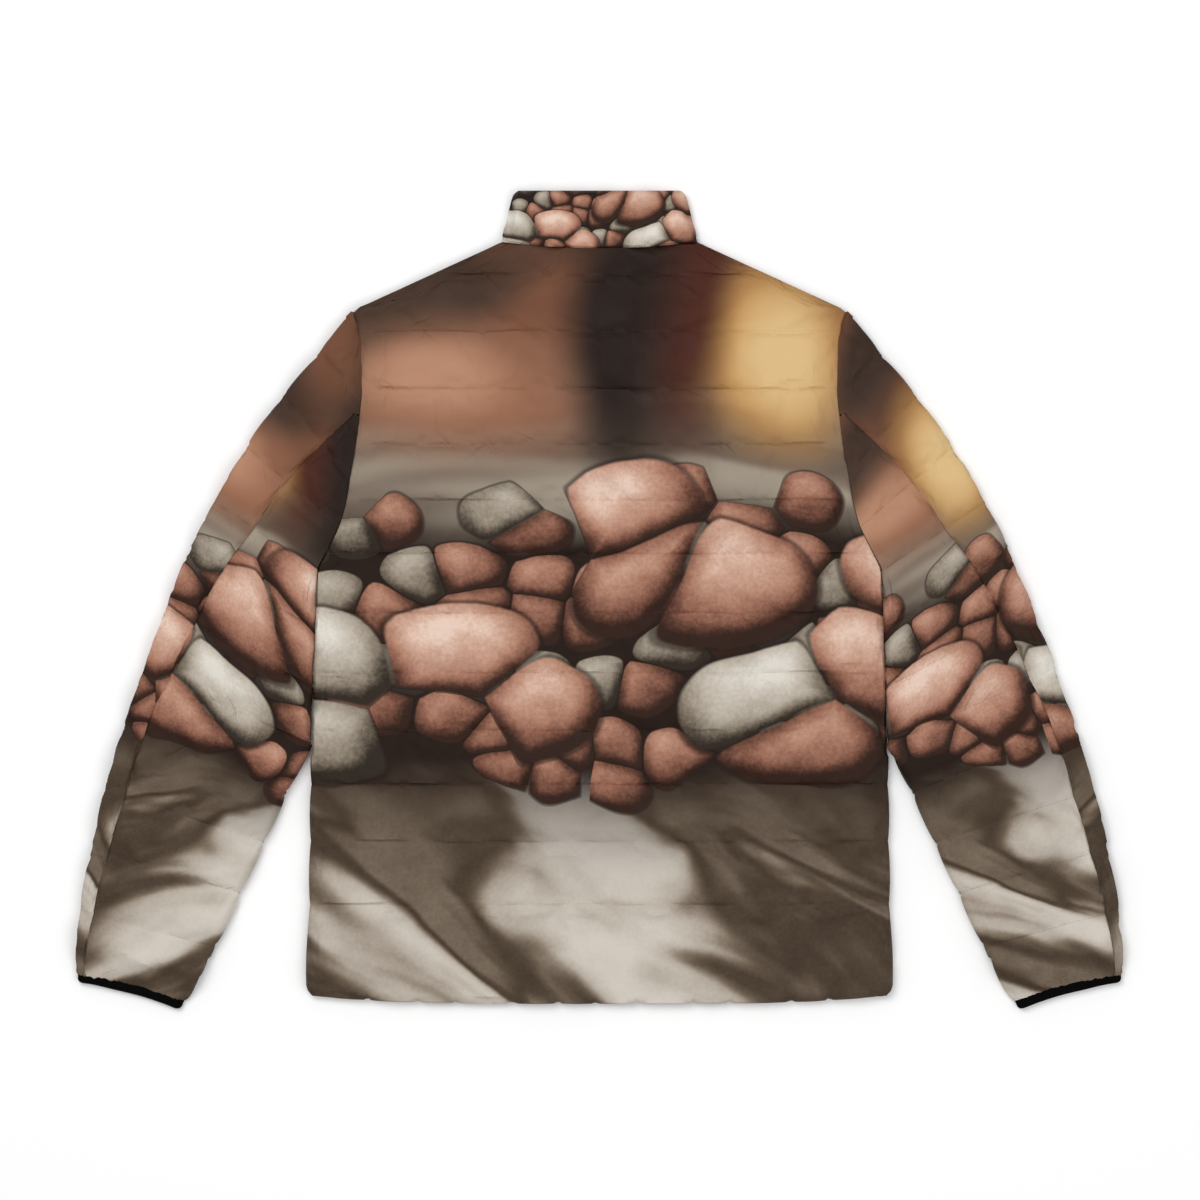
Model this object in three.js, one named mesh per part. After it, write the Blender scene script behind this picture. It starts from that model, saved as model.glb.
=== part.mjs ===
// A quilted puffer jacket with a stand collar, laid flat on its front with its back uppermost.
// Millimetres. X runs across the jacket, Y from hem to collar and Z up from the surface it lies on.
// Lengths down the garment are drops, measured from the neck point where shoulder and collar meet.
import * as THREE from "three";

// Driving dimensions of the body
const NECK_POINT_Y = 340;
const NECK_HALF = 93;
const NECK_SAG = 6;
const SHOULDER_HALF = 234.5;
const SHOULDER_DROP = 65;
const UNDERARM_DROP = 313;
const SLEEVE_LEAVES_DROP = 478;
const HEM_DROP = 716;
const HEM_SAG = 8;
const HEM_FOLD = 9;

// Armhole, then side seam, from the shoulder tip to the hem corner
const SIDE = [
  { drop: SHOULDER_DROP, half: SHOULDER_HALF },
  { drop: 83, half: 229 },
  { drop: 103, half: 226.5 },
  { drop: 139, half: 225.5 },
  { drop: 168, half: 228 },
  { drop: 221, half: 236 },
  { drop: 245, half: 240 },
  { drop: 269, half: 246.5 },
  { drop: 294, half: 258.5 },
  { drop: UNDERARM_DROP, half: 267.5 },
  { drop: 352, half: 269.5 },
  { drop: SLEEVE_LEAVES_DROP, half: 273 },
  { drop: 629, half: 275 },
  { drop: 709, half: 278 },
  { drop: HEM_DROP, half: 273 },
];

// Drops of the quilting lines across the back
const QUILTING = [31, 84, 139, 192, 245, 296, 352, 409, 464, 515, 569, 629];

// Sleeve: a row for the shoulder, each quilting line and the cuff. The inner end of a row lies on the
// body's outline while the sleeve lies against it. Seam is the share of the row outside the back seam,
// which starts on the armhole a little below the second row.
const SLEEVE = [
  { outer: 237.5, outerDrop: 66.8, innerDrop: 70, seam: 1.5 },
  { outer: 264.6, outerDrop: 102.6, innerDrop: 152, seam: 1 },
  { outer: 300.7, outerDrop: 146.3, innerDrop: 220, seam: 0.6 },
  { outer: 334.9, outerDrop: 194.8, innerDrop: 271, seam: 0.435 },
  { outer: 366.2, outerDrop: 247, innerDrop: UNDERARM_DROP, seam: 0.385 },
  { outer: 389, outerDrop: 293.6, innerDrop: 369, seam: 0.26 },
  { outer: 411.8, outerDrop: 347.7, innerDrop: 424, seam: 0.2 },
  { outer: 432.7, outerDrop: 404.7, innerDrop: SLEEVE_LEAVES_DROP, seam: 0.15 },
  { outer: 451.7, outerDrop: 461.7, innerDrop: 523.5, seam: 0.125 },
  { outer: 469.8, outerDrop: 520.6, innerDrop: 570, seam: 0.13 },
  { outer: 482.1, outerDrop: 575.7, innerDrop: 618.5, seam: 0.115 },
  { outer: 493.2, outerDrop: 634.6, innerDrop: 669.8, seam: 0.1 },
  { outer: 498.2, outerDrop: 696.5, innerDrop: 722.5, seam: 0.07 },
];
const SEAM_ROW = 1.2;
const UNDERARM_ROW = 4;
const CUFF_ROW = SLEEVE.length - 1;
const CUFF_BOW = 4.5;

// Inner edge of the sleeve once it is clear of the body
const INNER_EDGE = [
  { drop: 523.5, across: 297.4 },
  { drop: 570, across: 318.8 },
  { drop: 618.5, across: 341.5 },
  { drop: 669.8, across: 365.6 },
  { drop: 722.5, across: 393 },
];

// Collar: half width at each share of its height, up from the neck seam
const COLLAR_TOP_Y = 389;
const COLLAR = [
  { up: 0, half: NECK_HALF },
  { up: 0.25, half: 90.5 },
  { up: 0.5, half: 87 },
  { up: 0.78, half: 83.5 },
  { up: 0.92, half: 81.5 },
  { up: 1, half: 77 },
];
const COLLAR_FOLD = 8;
const COLLAR_CREST = 10;
const COLLAR_RISE = { from: -0.05, to: 0.25 };

// Cuff binding and front zip
const BINDING_WIDTH = 9;
const BINDING_INSET = 2.2;
const BINDING_ROUND = 3;
const BINDING_WALL = 3.7;
const TAPE_HALF = 4.5;
const TAPE_BOTTOM = 4.2;
const TAPE_TOP = 5.4;
const CHAIN_HALF = 2.6;
const CHAIN_BOTTOM = 3.2;
const CHAIN_TOP = 6.2;
const SLIDER = { width: 7, length: 11, nose: 4.2, bottom: 0.4, top: 2.9, belowTop: 14 };

// Walls: the front lies on the surface and the back lies on the front
const FRONT_WALL = 7;
const LAYER_GAP = 0.6;
const STITCHED = 4;
const CREST = 11;
const FOLD_WALL = 6.5;
const FOLD_ROUND = 11;
const EDGE_WALL = 2;
const ARMHOLE_FALL = { from: -7, to: 22 };
const SEAM_FALL = { from: -4, to: 7 };
const CUFF_WALL = 4;
const CUFF_FALL_ROWS = 0.5;
const BULGE = 1.3;
const BULGE_CLEAR = 8;
const SEAM_GAP = 0.5;
const PANEL_GAP = 0.4;
const FRONT_EDGE = TAPE_HALF + 0.3;

// Where rows of points lie between one quilting line and the next, and from the last one to the hem
const CHANNEL_ROWS = [0, 0.14, 0.5, 0.86];
const HEM_ROWS = [0, 0.12, 0.5, 0.8, 0.92, 0.97, 1];
const PLAIN_ROWS = [0, 0.5];
const PLAIN_HEM_ROWS = [0, 0.5, 0.92, 0.97, 1];
const LEAST_ROW = 2;

// Where points lie across: shares of the middle of a panel, then distances from its edge or its fold
const MIDDLE_COLUMNS = [0, 0.36, 0.7];
const EDGE_COLUMNS = [20, 8, 2.5, 0];
const SLEEVE_COLUMNS = [1, 0.66, 0.33];
const FOLD_COLUMNS = { near: 10, nearShare: 0.22, close: 3, closeShare: 0.08, wallShare: 0.3 };
const SLIT_COLUMNS = [0.45, 0.15];
const COLLAR_ROWS = [0, 0.08, 0.3, 0.55, 0.8, 0.92, 0.97, 1];
const COLLAR_SLIT = 2;

const BACK_INSIDE = FRONT_WALL + LAYER_GAP;
const SHOULDER_LEAN = SHOULDER_DROP / Math.hypot(SHOULDER_DROP, SHOULDER_HALF - NECK_HALF);

const printed = (color) => new THREE.MeshStandardMaterial({ color, roughness: 0.62, metalness: 0 });
const looks = {
  back: printed(0x96806c),
  front: printed(0x8c7765),
  upper: printed(0x6b5242),
  under: printed(0x8a7463),
  collar: printed(0x9c7d6c),
  binding: new THREE.MeshStandardMaterial({ color: 0x0b0b0c, roughness: 0.85, metalness: 0 }),
  tape: new THREE.MeshStandardMaterial({ color: 0x141415, roughness: 0.8, metalness: 0 }),
  slider: new THREE.MeshStandardMaterial({ color: 0x1c1c1e, roughness: 0.4, metalness: 0.8 }),
};

// A smooth value at x from a table, with no overshoot between its rows
function tableCurve(table, from, to) {
  const slope = (i) => (table[i + 1][to] - table[i][to]) / (table[i + 1][from] - table[i][from]);
  const last = table.length - 1;
  const tangent = table.map((row, i) => {
    if (i === 0 || i === last) return slope(i === 0 ? 0 : last - 1);
    const [before, after] = [slope(i - 1), slope(i)];
    return before * after <= 0 ? 0 : (2 * before * after) / (before + after);
  });
  return (x) => {
    let i = 0;
    while (i < last - 1 && x > table[i + 1][from]) i += 1;
    const span = table[i + 1][from] - table[i][from];
    const s = (x - table[i][from]) / span;
    const rise = s * s * (3 - 2 * s);
    return (
      table[i][to] * (1 - rise) +
      table[i + 1][to] * rise +
      span * s * (1 - s) * (tangent[i] * (1 - s) - tangent[i + 1] * s)
    );
  };
}

const lerp = THREE.MathUtils.lerp;
const ease = (x, from, to) => THREE.MathUtils.smoothstep(x, from, to);

// A quarter round: 0 on an edge, 1 from the given distance inwards
const roundOver = (distance, radius) => Math.sqrt(1 - (1 - Math.min(Math.max(distance / radius, 0), 1)) ** 2);

// 0 on a quilting line and 1 in the middle of the channel between two
const puff = (share) => Math.max(Math.sin(Math.PI * share), 0) ** 0.6;

// Body outline

const sideHalf = tableCurve(SIDE, "drop", "half");
const isArmhole = (drop) => drop > SHOULDER_DROP && drop < UNDERARM_DROP;

function bodyHalf(drop) {
  if (drop >= SHOULDER_DROP) return sideHalf(drop);
  return lerp(NECK_HALF, SHOULDER_HALF, drop / SHOULDER_DROP);
}

const bodyLines = [0, ...QUILTING, HEM_DROP];

function bodyPuff(drop) {
  let i = 0;
  while (i < bodyLines.length - 2 && drop > bodyLines[i + 1]) i += 1;
  return puff((drop - bodyLines[i]) / (bodyLines[i + 1] - bodyLines[i]));
}

// Rows are level except near the neck seam and the hem, which both hang lowest in the middle
function bodyY(drop, across) {
  const neck = NECK_SAG * Math.max(0, 1 - (across / NECK_HALF) ** 2) * Math.max(0, 1 - drop / QUILTING[0]);
  const hem = HEM_SAG * (1 - (across / bodyHalf(drop)) ** 4) * ease(drop, QUILTING.at(-1), HEM_DROP);
  return NECK_POINT_Y - drop - neck - hem;
}

// A side that hangs free bulges a little between its quilting lines
function scallop(drop) {
  const free = drop > SLEEVE_LEAVES_DROP + BULGE_CLEAR && drop < HEM_DROP - BULGE_CLEAR;
  return free ? BULGE * bodyPuff(drop) : 0;
}

// Each row of a body panel: its drop, and where its points stand across
function bodyRows(fractions, hemFractions, start) {
  const rows = [];
  bodyLines.slice(0, -1).forEach((line, i) => {
    const next = bodyLines[i + 1];
    const shares = next === HEM_DROP ? hemFractions : fractions;
    shares.forEach((share) => rows.push(lerp(line, next, share)));
  });
  return [...rows, SHOULDER_DROP, UNDERARM_DROP]
    .sort((a, b) => a - b)
    .filter((drop, i, all) => i === 0 || drop - all[i - 1] > LEAST_ROW)
    .map((drop) => ({ drop, columns: bodyColumns(drop, start) }));
}

// Points from start, which is the centre or the zip, out to the side of the body
function bodyColumns(drop, start) {
  const half = bodyHalf(drop) + scallop(drop);
  const lean = drop < SHOULDER_DROP ? SHOULDER_LEAN : 1;
  const flat = half - EDGE_COLUMNS[0] / lean;
  const middle = MIDDLE_COLUMNS.map((share) => lerp(start, flat, share));
  return [
    ...middle.map((across) => ({ across, edge: (half - across) * lean })),
    ...EDGE_COLUMNS.map((edge) => ({ across: half - edge / lean, edge })),
  ];
}

// Panels

// A closed wall between a grid of outer points and a grid of inner ones. Missing cells are cut out of it,
// and a ring joins its last column to its first.
function wall(name, material, outer, inner, { present = () => true, ring = false } = {}) {
  const rows = outer.length;
  const columns = outer[0].length;
  const cells = ring ? columns : columns - 1;
  const at = (side, i, j) => (side * rows + i) * columns + ((j + columns) % columns);
  const has = (i, j) => {
    if (i < 0 || i >= rows - 1 || (!ring && (j < 0 || j >= cells))) return false;
    return present(i, (j + columns) % columns);
  };
  const faces = [];
  const quad = (a, b, c, d) => faces.push([a, b, c], [a, c, d]);
  for (let i = 0; i < rows - 1; i += 1) {
    for (let j = 0; j < cells; j += 1) {
      if (!has(i, j)) continue;
      quad(at(0, i, j), at(0, i, j + 1), at(0, i + 1, j + 1), at(0, i + 1, j));
      quad(at(1, i + 1, j), at(1, i + 1, j + 1), at(1, i, j + 1), at(1, i, j));
      if (!has(i - 1, j)) quad(at(1, i, j), at(1, i, j + 1), at(0, i, j + 1), at(0, i, j));
      if (!has(i + 1, j)) quad(at(0, i + 1, j), at(0, i + 1, j + 1), at(1, i + 1, j + 1), at(1, i + 1, j));
      if (!has(i, j - 1)) quad(at(0, i, j), at(0, i + 1, j), at(1, i + 1, j), at(1, i, j));
      if (!has(i, j + 1)) quad(at(0, i + 1, j + 1), at(0, i, j + 1), at(1, i, j + 1), at(1, i + 1, j + 1));
    }
  }
  const points = [...outer, ...inner].flat();
  const volume = faces.reduce((sum, [a, b, c]) => {
    return sum + points[a].dot(new THREE.Vector3().crossVectors(points[b], points[c]));
  }, 0);
  const turned = volume < 0 ? faces.map(([a, b, c]) => [a, c, b]) : faces;
  const geometry = new THREE.BufferGeometry().setFromPoints(points);
  geometry.setIndex(turned.flat());
  geometry.computeVertexNormals();
  const mesh = new THREE.Mesh(geometry, material);
  mesh.name = name;
  return mesh;
}

// How far the wall has risen from its edge: it falls gently to a sewn armhole and rounds over at a fold
function bodyRise(drop, edge) {
  const { from, to } = ARMHOLE_FALL;
  const across = isArmhole(drop) ? ease(edge, from, to) : roundOver(edge, FOLD_ROUND);
  return across * roundOver(HEM_DROP - drop, HEM_FOLD);
}

function backPanel() {
  const rows = bodyRows(CHANNEL_ROWS, HEM_ROWS, 0);
  const whole = rows.map(({ drop, columns }) => {
    const right = columns.slice(1);
    const left = right.map(({ across, edge }) => ({ across: -across, edge })).reverse();
    return { drop, columns: [...left, columns[0], ...right] };
  });
  const outer = whole.map(({ drop, columns }) => {
    return columns.map(({ across, edge }) => {
      const least = isArmhole(drop) ? STITCHED : EDGE_WALL;
      const full = lerp(STITCHED, CREST, bodyPuff(drop));
      const thick = lerp(least, full, bodyRise(drop, edge));
      return new THREE.Vector3(across, bodyY(drop, across), BACK_INSIDE + thick);
    });
  });
  const inner = outer.map((row) => row.map((p) => new THREE.Vector3(p.x, p.y, BACK_INSIDE)));
  return wall("back", looks.back, outer, inner);
}

// A front lies on the surface: its underside is flat and rounds up only at a folded edge
function frontPanel(name, side) {
  const rows = bodyRows(PLAIN_ROWS, PLAIN_HEM_ROWS, FRONT_EDGE);
  const grid = (height) =>
    rows.map(({ drop, columns }) => {
      return columns.map(({ across, edge }) => {
        return new THREE.Vector3(side * across, bodyY(drop, across), height(drop, edge));
      });
    });
  const outer = grid((drop, edge) => {
    const rise = isArmhole(drop) ? roundOver(HEM_DROP - drop, HEM_FOLD) : bodyRise(drop, edge);
    return (FRONT_WALL - EDGE_WALL) * (1 - rise);
  });
  return wall(name, looks.front, outer, grid(() => FRONT_WALL));
}

// Sleeves

const indexed = SLEEVE.map((row, index) => ({ ...row, index }));
const outerAcross = tableCurve(indexed, "index", "outer");
const outerDrop = tableCurve(indexed, "index", "outerDrop");
const innerDrop = tableCurve(indexed, "index", "innerDrop");
const seamShare = tableCurve(indexed, "index", "seam");
const leaving = { drop: SLEEVE_LEAVES_DROP, across: bodyHalf(SLEEVE_LEAVES_DROP) + SEAM_GAP };
const clearEdge = tableCurve([leaving, ...INNER_EDGE], "drop", "across");

const sleevePuff = (row) => puff(row - Math.floor(row));
const LEAVING_ROW = SLEEVE.findIndex((row) => row.innerDrop === SLEEVE_LEAVES_DROP);

// The two ends of a sleeve row, in plan
function sleeveEnds(row) {
  const drop = innerDrop(row);
  const across = drop <= SLEEVE_LEAVES_DROP ? bodyHalf(drop) + SEAM_GAP : clearEdge(drop);
  const inner = new THREE.Vector2(across, NECK_POINT_Y - drop);
  const outer = new THREE.Vector2(outerAcross(row), NECK_POINT_Y - outerDrop(row));
  const outwards = outer.clone().sub(inner).normalize();
  const innerBulge = row > LEAVING_ROW ? BULGE * sleevePuff(row) : 0;
  inner.addScaledVector(outwards, -innerBulge);
  outer.addScaledVector(outwards, BULGE * sleevePuff(row) * ease(row, 0, 1));
  return { inner, outer, width: inner.distanceTo(outer) };
}

// A point of a sleeve row in plan, share 0 at its outer end. Rows bow towards the shoulder at the cuff.
function sleevePlan(row, share) {
  const { inner, outer } = sleeveEnds(row);
  const along = inner.clone().sub(outer).normalize();
  const bow = CUFF_BOW * 4 * share * (1 - share) * ease(row, CUFF_ROW - 1, CUFF_ROW);
  return outer.clone().lerp(inner, share).addScaledVector(new THREE.Vector2(along.y, -along.x), bow);
}

// The walls flatten where the elastic draws the cuff in
function sleeveWalls(row) {
  const cuff = ease(row, CUFF_ROW - CUFF_FALL_ROWS, CUFF_ROW);
  const front = lerp(FRONT_WALL, CUFF_WALL, cuff);
  const crest = lerp(CREST, STITCHED, cuff);
  return { front, full: lerp(STITCHED, crest, sleevePuff(row)) };
}

// Where the points of a row stand, measured in from the fold that the panel wraps around. A sewn row has
// no fold: its panel ends at the armhole.
function foldSteps(width, sewn, insideSewn) {
  const near = Math.min(FOLD_COLUMNS.near, FOLD_COLUMNS.nearShare * width);
  const close = Math.min(FOLD_COLUMNS.close, FOLD_COLUMNS.closeShare * width);
  const fold = Math.min(FOLD_WALL, FOLD_COLUMNS.wallShare * width);
  const wide = SLEEVE_COLUMNS.map((share) => lerp(near, width, share));
  const slit = SLIT_COLUMNS.map((share) => lerp(fold, wide.at(-1), share));
  return {
    outer: [...wide, near, sewn ? 0 : close],
    inner: [...wide, ...(insideSewn ? [near, 0] : slit)],
    fold,
  };
}

// One row of a sleeve panel: over the top from its seam to the fold, and back underneath. Above the
// underarm the armhole takes the fold's place, and the fold's inside starts on the underarm row itself.
function sleeveSection(row, { foldShare, seamAt }) {
  const sewn = foldShare > seamAt && row <= UNDERARM_ROW;
  const insideSewn = sewn && row < UNDERARM_ROW;
  const { width } = sleeveEnds(row);
  const { front, full } = sleeveWalls(row);
  const reach = Math.abs(seamAt - foldShare) * width;
  const steps = foldSteps(reach, sewn, insideSewn);
  const middle = front + LAYER_GAP / 2;
  const place = (distance, z) => {
    const plan = sleevePlan(row, lerp(foldShare, seamAt, distance / reach));
    return new THREE.Vector3(plan.x, plan.y, z);
  };
  const radius = Math.min(FOLD_ROUND, 0.9 * reach);
  const turn = (distance) => (sewn ? 1 : roundOver(distance, radius));
  const fromArmhole = (distance) => {
    const open = foldShare > seamAt ? distance : reach - distance;
    return row < UNDERARM_ROW ? ease(open, ARMHOLE_FALL.from, ARMHOLE_FALL.to) : 1;
  };
  const top = (distance) => {
    const fromSeam = ease(reach - distance, SEAM_FALL.from, SEAM_FALL.to);
    const thick = lerp(STITCHED, full, Math.min(fromArmhole(distance), fromSeam));
    return lerp(middle, front + LAYER_GAP + thick, turn(distance));
  };
  const under = (distance) => middle * (1 - turn(distance));
  const slitFrom = insideSewn ? steps.inner.length : SLEEVE_COLUMNS.length + 1;
  const slitClose = (i) => (i < slitFrom ? 0 : LAYER_GAP / 4);
  return {
    outer: [
      ...steps.outer.map((distance) => place(distance, top(distance))),
      place(0, middle),
      ...steps.outer.map((distance) => place(distance, under(distance))).reverse(),
    ],
    inner: [
      ...steps.inner.map((distance, i) => place(distance, front + LAYER_GAP - slitClose(i))),
      place(steps.fold, middle),
      ...steps.inner.map((distance, i) => place(distance, front + slitClose(i))).reverse(),
    ],
  };
}

const sleeveRows = SLEEVE.slice(0, -1)
  .flatMap((row, index) => CHANNEL_ROWS.map((share) => index + share))
  .concat(SEAM_ROW, CUFF_ROW)
  .sort((a, b) => a - b);

// The upper panel wraps over the outer edge. It fills the whole row until the back seam starts.
function upperSleeve(name) {
  const sections = sleeveRows.map((row) => {
    const { width } = sleeveEnds(row);
    const seamAt = row < SEAM_ROW ? 1 : seamShare(row) - PANEL_GAP / 2 / width;
    return sleeveSection(row, { foldShare: 0, seamAt });
  });
  return wall(
    name,
    looks.upper,
    sections.map((section) => section.outer),
    sections.map((section) => section.inner),
  );
}

// The under panel wraps round the inner edge, and above the underarm it opens along the armhole
function underSleeve(name) {
  const rows = sleeveRows.filter((row) => row >= SEAM_ROW);
  const sections = rows.map((row) => {
    const { width } = sleeveEnds(row);
    const seamAt = seamShare(row) + PANEL_GAP / 2 / width;
    return sleeveSection(row, { foldShare: 1, seamAt });
  });
  const foldColumn = (sections[0].outer.length - 1) / 2;
  const inFold = (j) => j === foldColumn - 1 || j === foldColumn;
  return wall(
    name,
    looks.under,
    sections.map((section) => section.outer),
    sections.map((section) => section.inner),
    { present: (i, j) => rows[i] >= UNDERARM_ROW || !inFold(j) },
  );
}

// A flat ring of elastic binding beyond the cuff seam
function cuffBinding(name) {
  const { width } = sleeveEnds(CUFF_ROW);
  const height = 2 * BINDING_WALL + LAYER_GAP;
  const shares = [0, 0.2, 0.4, 0.6, 0.8, 1];
  const step = 0.02;
  const down = (share) => {
    const along = sleevePlan(CUFF_ROW, share + step).sub(sleevePlan(CUFF_ROW, share - step)).normalize();
    return new THREE.Vector2(-along.y, along.x);
  };
  const ringRow = (below, inset) => {
    const point = (share, z, pull) => {
      const edge = (inset + pull) / width;
      const kept = lerp(edge, 1 - edge, share);
      const plan = sleevePlan(CUFF_ROW, kept).addScaledVector(down(kept), below);
      return new THREE.Vector3(plan.x, plan.y, z);
    };
    const layer = (z, pull) => shares.map((share) => point(share, z, pull));
    const loop = (low, high, pull, foldPull) => [
      ...layer(high, pull),
      point(1, height / 2, foldPull),
      ...layer(low, pull).reverse(),
      point(0, height / 2, foldPull),
    ];
    return {
      outer: loop(0, height, BINDING_WALL / 2, 0),
      inner: loop(BINDING_WALL, BINDING_WALL + LAYER_GAP, 1.4 * BINDING_WALL, BINDING_WALL),
    };
  };
  const rows = [
    ringRow(PANEL_GAP, BINDING_INSET),
    ringRow(BINDING_WIDTH / 2, BINDING_INSET),
    ringRow(BINDING_WIDTH - BINDING_ROUND, BINDING_INSET + BINDING_ROUND / 6),
    ringRow(BINDING_WIDTH, BINDING_INSET + BINDING_ROUND),
  ];
  return wall(
    name,
    looks.binding,
    rows.map((row) => row.outer),
    rows.map((row) => row.inner),
    { ring: true },
  );
}

// Collar and zip

const collarHalf = tableCurve(COLLAR, "up", "half");

function collarY(up, across) {
  const seam = bodyY(0, across) + SEAM_GAP;
  return lerp(seam, COLLAR_TOP_Y, up);
}

// The collar runs from the zip round the back of the neck to the zip again, and is folded flat
function collar() {
  const section = (up) => {
    const half = collarHalf(up);
    const rise = roundOver((1 - up) * (COLLAR_TOP_Y - NECK_POINT_Y), COLLAR_FOLD);
    const seamRise = ease(up, COLLAR_RISE.from, COLLAR_RISE.to);
    const full = lerp(EDGE_WALL, lerp(STITCHED, COLLAR_CREST, seamRise), rise);
    const low = (FRONT_WALL / 2) * (1 - rise);
    const middle = FRONT_WALL + LAYER_GAP / 2;
    const point = (across, z) => new THREE.Vector3(across, collarY(up, across), z);
    const turn = (across) => roundOver(half - Math.abs(across), FOLD_ROUND);
    const flat = half - FOLD_ROUND;
    const outsides = [flat / 2, flat, half - FOLD_COLUMNS.close];
    const insides = [flat / 2, flat - COLLAR_SLIT, half - FOLD_WALL - COLLAR_SLIT];
    // Round the band from one front edge, over the back of the neck, to the other
    const band = (columns, fold, below, above) => [
      ...[FRONT_EDGE, ...columns].map((x) => point(-x, below(x))),
      point(-fold, middle),
      ...[...columns].reverse().map((x) => point(-x, above(x))),
      ...[0, ...columns].map((x) => point(x, above(x))),
      point(fold, middle),
      ...[FRONT_EDGE, ...columns].map((x) => point(x, below(x))).reverse(),
    ];
    const bottom = (x) => lerp(middle, low, turn(x));
    const top = (x) => lerp(middle, BACK_INSIDE + full, turn(x));
    return {
      outer: band(outsides, half, bottom, top),
      inner: band(insides, half - FOLD_WALL, () => FRONT_WALL, () => BACK_INSIDE),
    };
  };
  const sections = COLLAR_ROWS.map(section);
  return wall(
    "collar",
    looks.collar,
    sections.map((row) => row.outer),
    sections.map((row) => row.inner),
  );
}

// The closed zip: two tapes and their chain as one strip from the hem to the top of the collar
function zip() {
  const half = [
    new THREE.Vector2(CHAIN_HALF, CHAIN_BOTTOM),
    new THREE.Vector2(CHAIN_HALF, TAPE_BOTTOM),
    new THREE.Vector2(TAPE_HALF, TAPE_BOTTOM),
    new THREE.Vector2(TAPE_HALF, TAPE_TOP),
    new THREE.Vector2(CHAIN_HALF, TAPE_TOP),
    new THREE.Vector2(CHAIN_HALF, CHAIN_TOP),
  ];
  const mirrored = half.map((p) => new THREE.Vector2(-p.x, p.y)).reverse();
  const outline = new THREE.Shape([...half, ...mirrored]);
  const bottom = bodyY(HEM_DROP, 0) + HEM_FOLD;
  const top = COLLAR_TOP_Y - COLLAR_FOLD;
  const geometry = new THREE.ExtrudeGeometry(outline, { depth: top - bottom, bevelEnabled: false });
  const mesh = new THREE.Mesh(geometry, looks.tape);
  mesh.name = "zip";
  mesh.rotation.x = Math.PI / 2;
  mesh.position.y = top;
  return mesh;
}

// The slider sits at the closed end of the chain, on the outside of the jacket, which faces down
function zipSlider() {
  const [nose, wide, end] = [SLIDER.nose / 2, SLIDER.width / 2, SLIDER.length / 2];
  const plate = new THREE.Shape();
  plate.moveTo(-nose, -end);
  plate.lineTo(nose, -end);
  plate.lineTo(wide, 0);
  plate.lineTo(wide, end);
  plate.lineTo(-wide, end);
  plate.lineTo(-wide, 0);
  const depth = SLIDER.top - SLIDER.bottom;
  const mesh = new THREE.Mesh(
    new THREE.ExtrudeGeometry(plate, { depth, bevelEnabled: false }),
    looks.slider,
  );
  mesh.name = "zip_slider";
  mesh.position.set(0, COLLAR_TOP_Y - SLIDER.belowTop, SLIDER.bottom);
  return mesh;
}

// The left sleeve is the right one mirrored across the centre line
function sleeve(side) {
  const group = new THREE.Group();
  const hand = side < 0 ? "left" : "right";
  group.add(
    upperSleeve(`sleeve_${hand}_upper`),
    underSleeve(`sleeve_${hand}_under`),
    cuffBinding(`cuff_${hand}`),
  );
  group.scale.x = side;
  return group;
}

const jacket = new THREE.Group();
jacket.add(
  backPanel(),
  frontPanel("front_left", -1),
  frontPanel("front_right", 1),
  collar(),
  zip(),
  zipSlider(),
  sleeve(-1),
  sleeve(1),
);

export default jacket;
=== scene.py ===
"""A quilted puffer jacket laid flat, back up. Sizes are in millimetres until a mesh is placed."""

import math

import bmesh
import bpy
from mathutils import Matrix, Vector, noise


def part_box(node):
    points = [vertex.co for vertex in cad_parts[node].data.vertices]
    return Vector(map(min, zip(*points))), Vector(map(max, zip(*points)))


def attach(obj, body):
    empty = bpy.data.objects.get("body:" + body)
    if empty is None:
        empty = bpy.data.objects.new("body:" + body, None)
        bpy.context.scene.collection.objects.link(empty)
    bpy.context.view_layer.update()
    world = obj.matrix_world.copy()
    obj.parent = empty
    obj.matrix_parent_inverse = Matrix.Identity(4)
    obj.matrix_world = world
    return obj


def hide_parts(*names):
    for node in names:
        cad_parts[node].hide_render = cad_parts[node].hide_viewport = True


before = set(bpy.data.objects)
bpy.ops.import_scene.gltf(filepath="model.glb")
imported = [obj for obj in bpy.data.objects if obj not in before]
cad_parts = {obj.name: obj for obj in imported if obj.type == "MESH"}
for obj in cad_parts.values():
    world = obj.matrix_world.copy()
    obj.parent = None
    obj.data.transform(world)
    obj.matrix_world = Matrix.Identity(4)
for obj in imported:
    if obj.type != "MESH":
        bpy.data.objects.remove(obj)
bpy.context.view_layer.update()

MM = 0.001


def frame_mm(node):
    """Lowest and highest corners of a frame node, in millimetres."""
    low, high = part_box(node)
    return low / MM, high / MM


# Body, as the frame's solids have it. Drops are measured down from the neck point.
NECK_POINT_Y = 340
NECK_HALF = 93
NECK_SAG = 6
SHOULDER_HALF = 234.5
SHOULDER_DROP = 65
UNDERARM_DROP = 313
SLEEVE_LEAVES_DROP = 478
HEM_DROP = 716
HEM_SAG = 8
HEM_FOLD = 9

# Armhole, then side seam, from the shoulder tip to the hem corner: drop and half width
SIDE = (
    (SHOULDER_DROP, SHOULDER_HALF),
    (83, 229),
    (103, 226.5),
    (139, 225.5),
    (168, 228),
    (221, 236),
    (245, 240),
    (269, 246.5),
    (294, 258.5),
    (UNDERARM_DROP, 267.5),
    (352, 269.5),
    (SLEEVE_LEAVES_DROP, 273),
    (629, 275),
    (709, 278),
    (HEM_DROP, 273),
)
QUILTING = (31, 84, 139, 192, 245, 296, 352, 409, 464, 515, 569, 629)

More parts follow.
